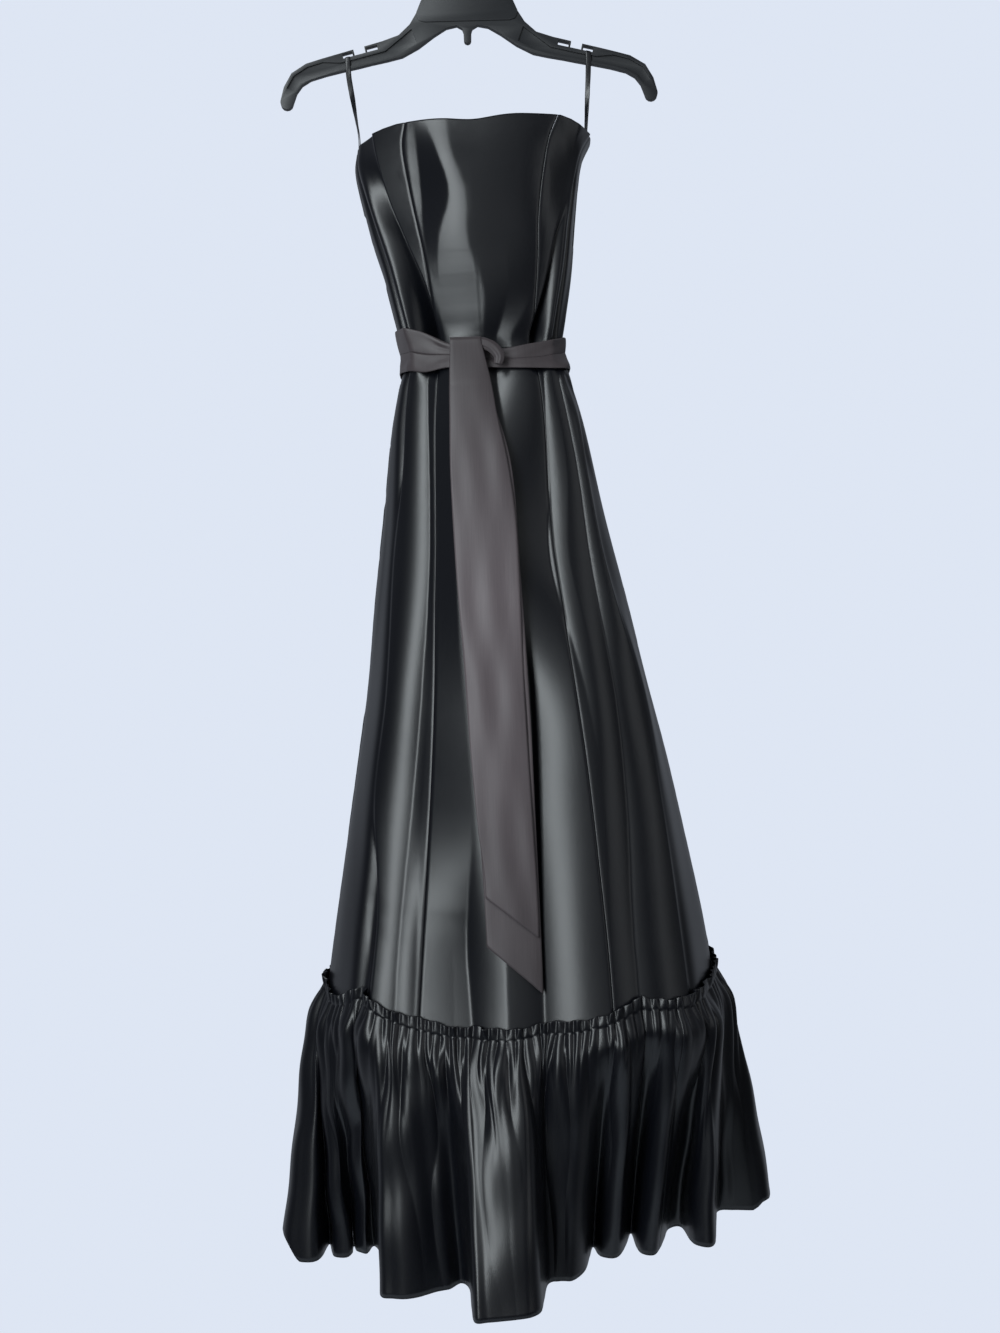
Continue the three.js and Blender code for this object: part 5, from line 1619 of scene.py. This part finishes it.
@dataclass
class Trim:
    """The hanger, the ribbon loops and the zip."""

    teeth_top: float = -262.0
    teeth_foot: float = -560.0
    tooth_step: float = 1.9

    def ribbon(self, workshop: Workshop, node: str, satin: bpy.types.Material) -> None:
        """Make one ribbon loop from its node, finer and softer at its edges.

        Args:
            workshop: makes the objects.
            node: the loop's node.
            satin: its finish.
        """
        obj = workshop.copy_node(node, node + "_ribbon", 0.0)
        workshop.apply(obj, "SUBSURF", levels=2, render_levels=2)
        workshop.map_cloth(obj)
        workshop.pick(obj)
        bpy.ops.object.shade_smooth_by_angle(angle=math.radians(60))
        workshop.hand_over(obj, satin, "black_satin", nodes=(node,))

    def zip_rows(self, form: DressForm) -> np.ndarray:
        """Give points down the centre-back seam, one for each tooth."""
        heights = np.arange(self.teeth_top, self.teeth_foot, -self.tooth_step)
        return np.array([form.row(float(z), 0, np.array([0.0]), sewn=False)[0][0] for z in heights])

    def zip_teeth(self, workshop: Workshop, rows: np.ndarray, metal: bpy.types.Material) -> None:
        """Make the closed teeth as small blocks that stagger from side to side.

        Args:
            workshop: makes the objects.
            rows: a point for each tooth.
            metal: their finish.
        """
        corner = np.array([
            (-0.9, 0.0, -0.5), (0.9, 0.0, -0.5), (0.9, 0.0, 0.5), (-0.9, 0.0, 0.5),
            (-0.6, 0.7, -0.3), (0.6, 0.7, -0.3), (0.6, 0.7, 0.3), (-0.6, 0.7, 0.3),
        ])
        quads = ((0, 1, 2, 3), (4, 7, 6, 5), (0, 4, 5, 1), (1, 5, 6, 2), (2, 6, 7, 3), (3, 7, 4, 0))
        points, faces = [], []
        for k, place in enumerate(rows):
            side = 0.35 if k % 2 else -0.35
            base = len(points) * 8
            points.append(corner + place + (side, -0.9, 0.0))
            faces += [tuple(base + n for n in quad) for quad in quads]
        obj = workshop.mesh_object("zip_teeth", np.concatenate(points), faces)
        workshop.face_outwards(obj)
        bpy.ops.object.shade_smooth_by_angle(angle=math.radians(30))
        workshop.hand_over(obj, metal, "zip_metal")

    def build(
        self, workshop: Workshop, form: DressForm, satin: bpy.types.Material, plastic: bpy.types.Material,
        metal: bpy.types.Material,
    ) -> None:
        """Make the hanger, the loops and the zip.

        Args:
            workshop: makes the objects.
            form: the dress's form.
            satin: the ribbons' finish.
            plastic: the hanger's finish.
            metal: the zip's finish.
        """
        hanger = workshop.copy_node("hanger", "hanger_moulding", 0.9)
        workshop.hand_over(hanger, plastic, "hanger_plastic", nodes=("hanger",))
        for node in ("loop_left", "loop_right"):
            self.ribbon(workshop, node, satin)
        slider = workshop.copy_node("zip_slider", "zip_slider_cast", 0.25)
        workshop.hand_over(slider, metal, "zip_metal", nodes=("zip_slider",))
        pull = workshop.copy_node("zip_pull", "zip_pull_cast", 0.15)
        workshop.hand_over(pull, metal, "zip_metal", PULL_BODY, ("zip_pull",))
        self.zip_teeth(workshop, self.zip_rows(form), metal)


@dataclass
class Studio:
    """Camera, lights, pale world and floor."""

    camera_place: tuple[float, float, float] = (0.0184, -2.0, -0.841)
    lens: float = 47.0
    roll: float = -1.5
    pale: tuple[float, float, float, float] = (0.73, 0.79, 0.90, 1.0)
    room_light: float = 0.035
    back_light: float = 0.32
    floor_z: float = -1.95

    def camera(self) -> None:
        """Set the camera at the photograph's viewing angle."""
        data = bpy.data.cameras.new("camera")
        data.lens = self.lens
        data.sensor_width = 36.0
        data.sensor_fit = "AUTO"
        camera = bpy.data.objects.new("camera", data)
        bpy.context.scene.collection.objects.link(camera)
        turned = Matrix.Rotation(math.radians(90), 4, "X") @ Matrix.Rotation(math.radians(self.roll), 4, "Z")
        camera.matrix_world = Matrix.Translation(self.camera_place) @ turned
        bpy.context.scene.camera = camera

    def light(
        self, name: str, place: tuple[float, float, float], aim: tuple[float, float, float],
        size: tuple[float, float], power: float, colour: tuple[float, float, float],
    ) -> None:
        """Add a soft rectangular light.

        Args:
            name: its name.
            place: where it stands.
            aim: what it faces.
            size: its width and height.
            power: watts.
            colour: its colour.
        """
        data = bpy.data.lights.new(name, "AREA")
        data.shape = "RECTANGLE"
        data.size, data.size_y = size
        data.energy = power
        data.color = colour
        light = bpy.data.objects.new(name, data)
        bpy.context.scene.collection.objects.link(light)
        light.location = place
        light.rotation_euler = (Vector(aim) - Vector(place)).to_track_quat("-Z", "Y").to_euler()

    def world(self) -> None:
        """Set a pale world that the camera sees, and that lights the dress less strongly."""
        world = bpy.data.worlds.new("pale")
        world.use_nodes = True
        tree = world.node_tree
        tree.nodes.clear()
        output = tree.nodes.new("ShaderNodeOutputWorld")
        mix = tree.nodes.new("ShaderNodeMixShader")
        seen = tree.nodes.new("ShaderNodeBackground")
        lit = tree.nodes.new("ShaderNodeBackground")
        path = tree.nodes.new("ShaderNodeLightPath")
        seen.inputs["Color"].default_value = self.pale
        lit.inputs["Color"].default_value = self.pale
        place = tree.nodes.new("ShaderNodeTexCoord")
        parts = tree.nodes.new("ShaderNodeSeparateXYZ")
        spread = tree.nodes.new("ShaderNodeMapRange")
        limits = {"From Min": -0.25, "From Max": 0.7, "To Min": self.room_light, "To Max": self.back_light}
        for name, value in limits.items():
            spread.inputs[name].default_value = value
        tree.links.new(place.outputs["Generated"], parts.inputs["Vector"])
        tree.links.new(parts.outputs["Y"], spread.inputs["Value"])
        tree.links.new(spread.outputs["Result"], lit.inputs["Strength"])
        tree.links.new(path.outputs["Is Camera Ray"], mix.inputs["Fac"])
        tree.links.new(lit.outputs[0], mix.inputs[1])
        tree.links.new(seen.outputs[0], mix.inputs[2])
        tree.links.new(mix.outputs[0], output.inputs["Surface"])
        bpy.context.scene.world = world

    def floor(self) -> None:
        """Lay a pale round floor under the dress."""
        place = (0.03, 0, self.floor_z)
        bpy.ops.mesh.primitive_circle_add(vertices=96, radius=0.85, fill_type="NGON", location=place)
        floor = bpy.context.active_object
        floor.name = "floor"
        shader = Shader("pale_floor")
        place = shader.node("ShaderNodeTexCoord", {}, {}).part("Object")
        cloud = shader.noise(place, (3.0, 3.0, 3.0), 2.0)
        shader.set(Base_Color=shader.mix(cloud, (0.70, 0.74, 0.80, 1), (0.76, 0.80, 0.86, 1)), Roughness=0.7)
        floor.data.materials.append(shader.material)
        floor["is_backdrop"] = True

    def build(self) -> None:
        """Set the whole studio."""
        self.camera()
        self.world()
        self.floor()
        self.light("window", (-1.12, -2.0, -0.05), (0.0, 0.0, -0.8), (0.85, 3.1), 59.0, (0.90, 0.97, 1.0))
        self.light("room", (0.25, -3.4, 0.2), (0.0, 0.0, -0.8), (2.0, 4.2), 8.0, (0.92, 0.97, 1.0))
        self.light("wall_right", (1.9, -1.3, -0.2), (0.1, 0.0, -0.9), (1.1, 2.8), 6.0, (0.93, 0.97, 1.0))


def main() -> None:
    """Build the dress, its hanger and the studio."""
    logging.basicConfig(level=logging.INFO, format="%(name)s %(message)s")
    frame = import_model()
    scene = bpy.context.scene
    scene.view_settings.view_transform = "Standard"
    Studio().build()
    workshop = Workshop(frame)
    black = Satin(
        "black_satin", (0.0020, 0.0024, 0.0044, 1), (0.0042, 0.0048, 0.0076, 1), 0.33, 0.62, 0.0, (0.6, 0.7, 0.75, 1)
    ).make()
    # the sash has painted shade at the waist and at the tails' ends, with a painted lighter band between them
    charcoal = Satin(
        "sash_satin", (0.066, 0.055, 0.060, 1), (0.160, 0.130, 0.140, 1), 0.50, 0.5, 0.12, (0.75, 0.7, 0.72, 1),
        ends=0.5,
    ).make()
    plastic = Moulding("hanger_plastic", (0.010, 0.011, 0.014, 1), (0.017, 0.019, 0.022, 1), 0.42).make()
    metal = CoatedMetal("zip_metal", (0.02, 0.02, 0.022, 1), (0.06, 0.06, 0.065, 1), 0.32).make()
    form = DressForm()
    skirt = Skirt(form)
    Bodice(form).build(workshop, black)
    skirt.build(workshop, black)
    Flounce(skirt).build(workshop, black)
    Sash(form, skirt).build(workshop, charcoal)
    Trim().build(workshop, form, black, plastic, metal)
    bpy.context.view_layer.update()
    triangles = {piece.name: sum(len(face.vertices) - 2 for face in piece.data.polygons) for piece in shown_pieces()}
    LOG.info("%d triangles, most on one piece %d", sum(triangles.values()), max(triangles.values()))


if __name__ == "__main__":
    main()
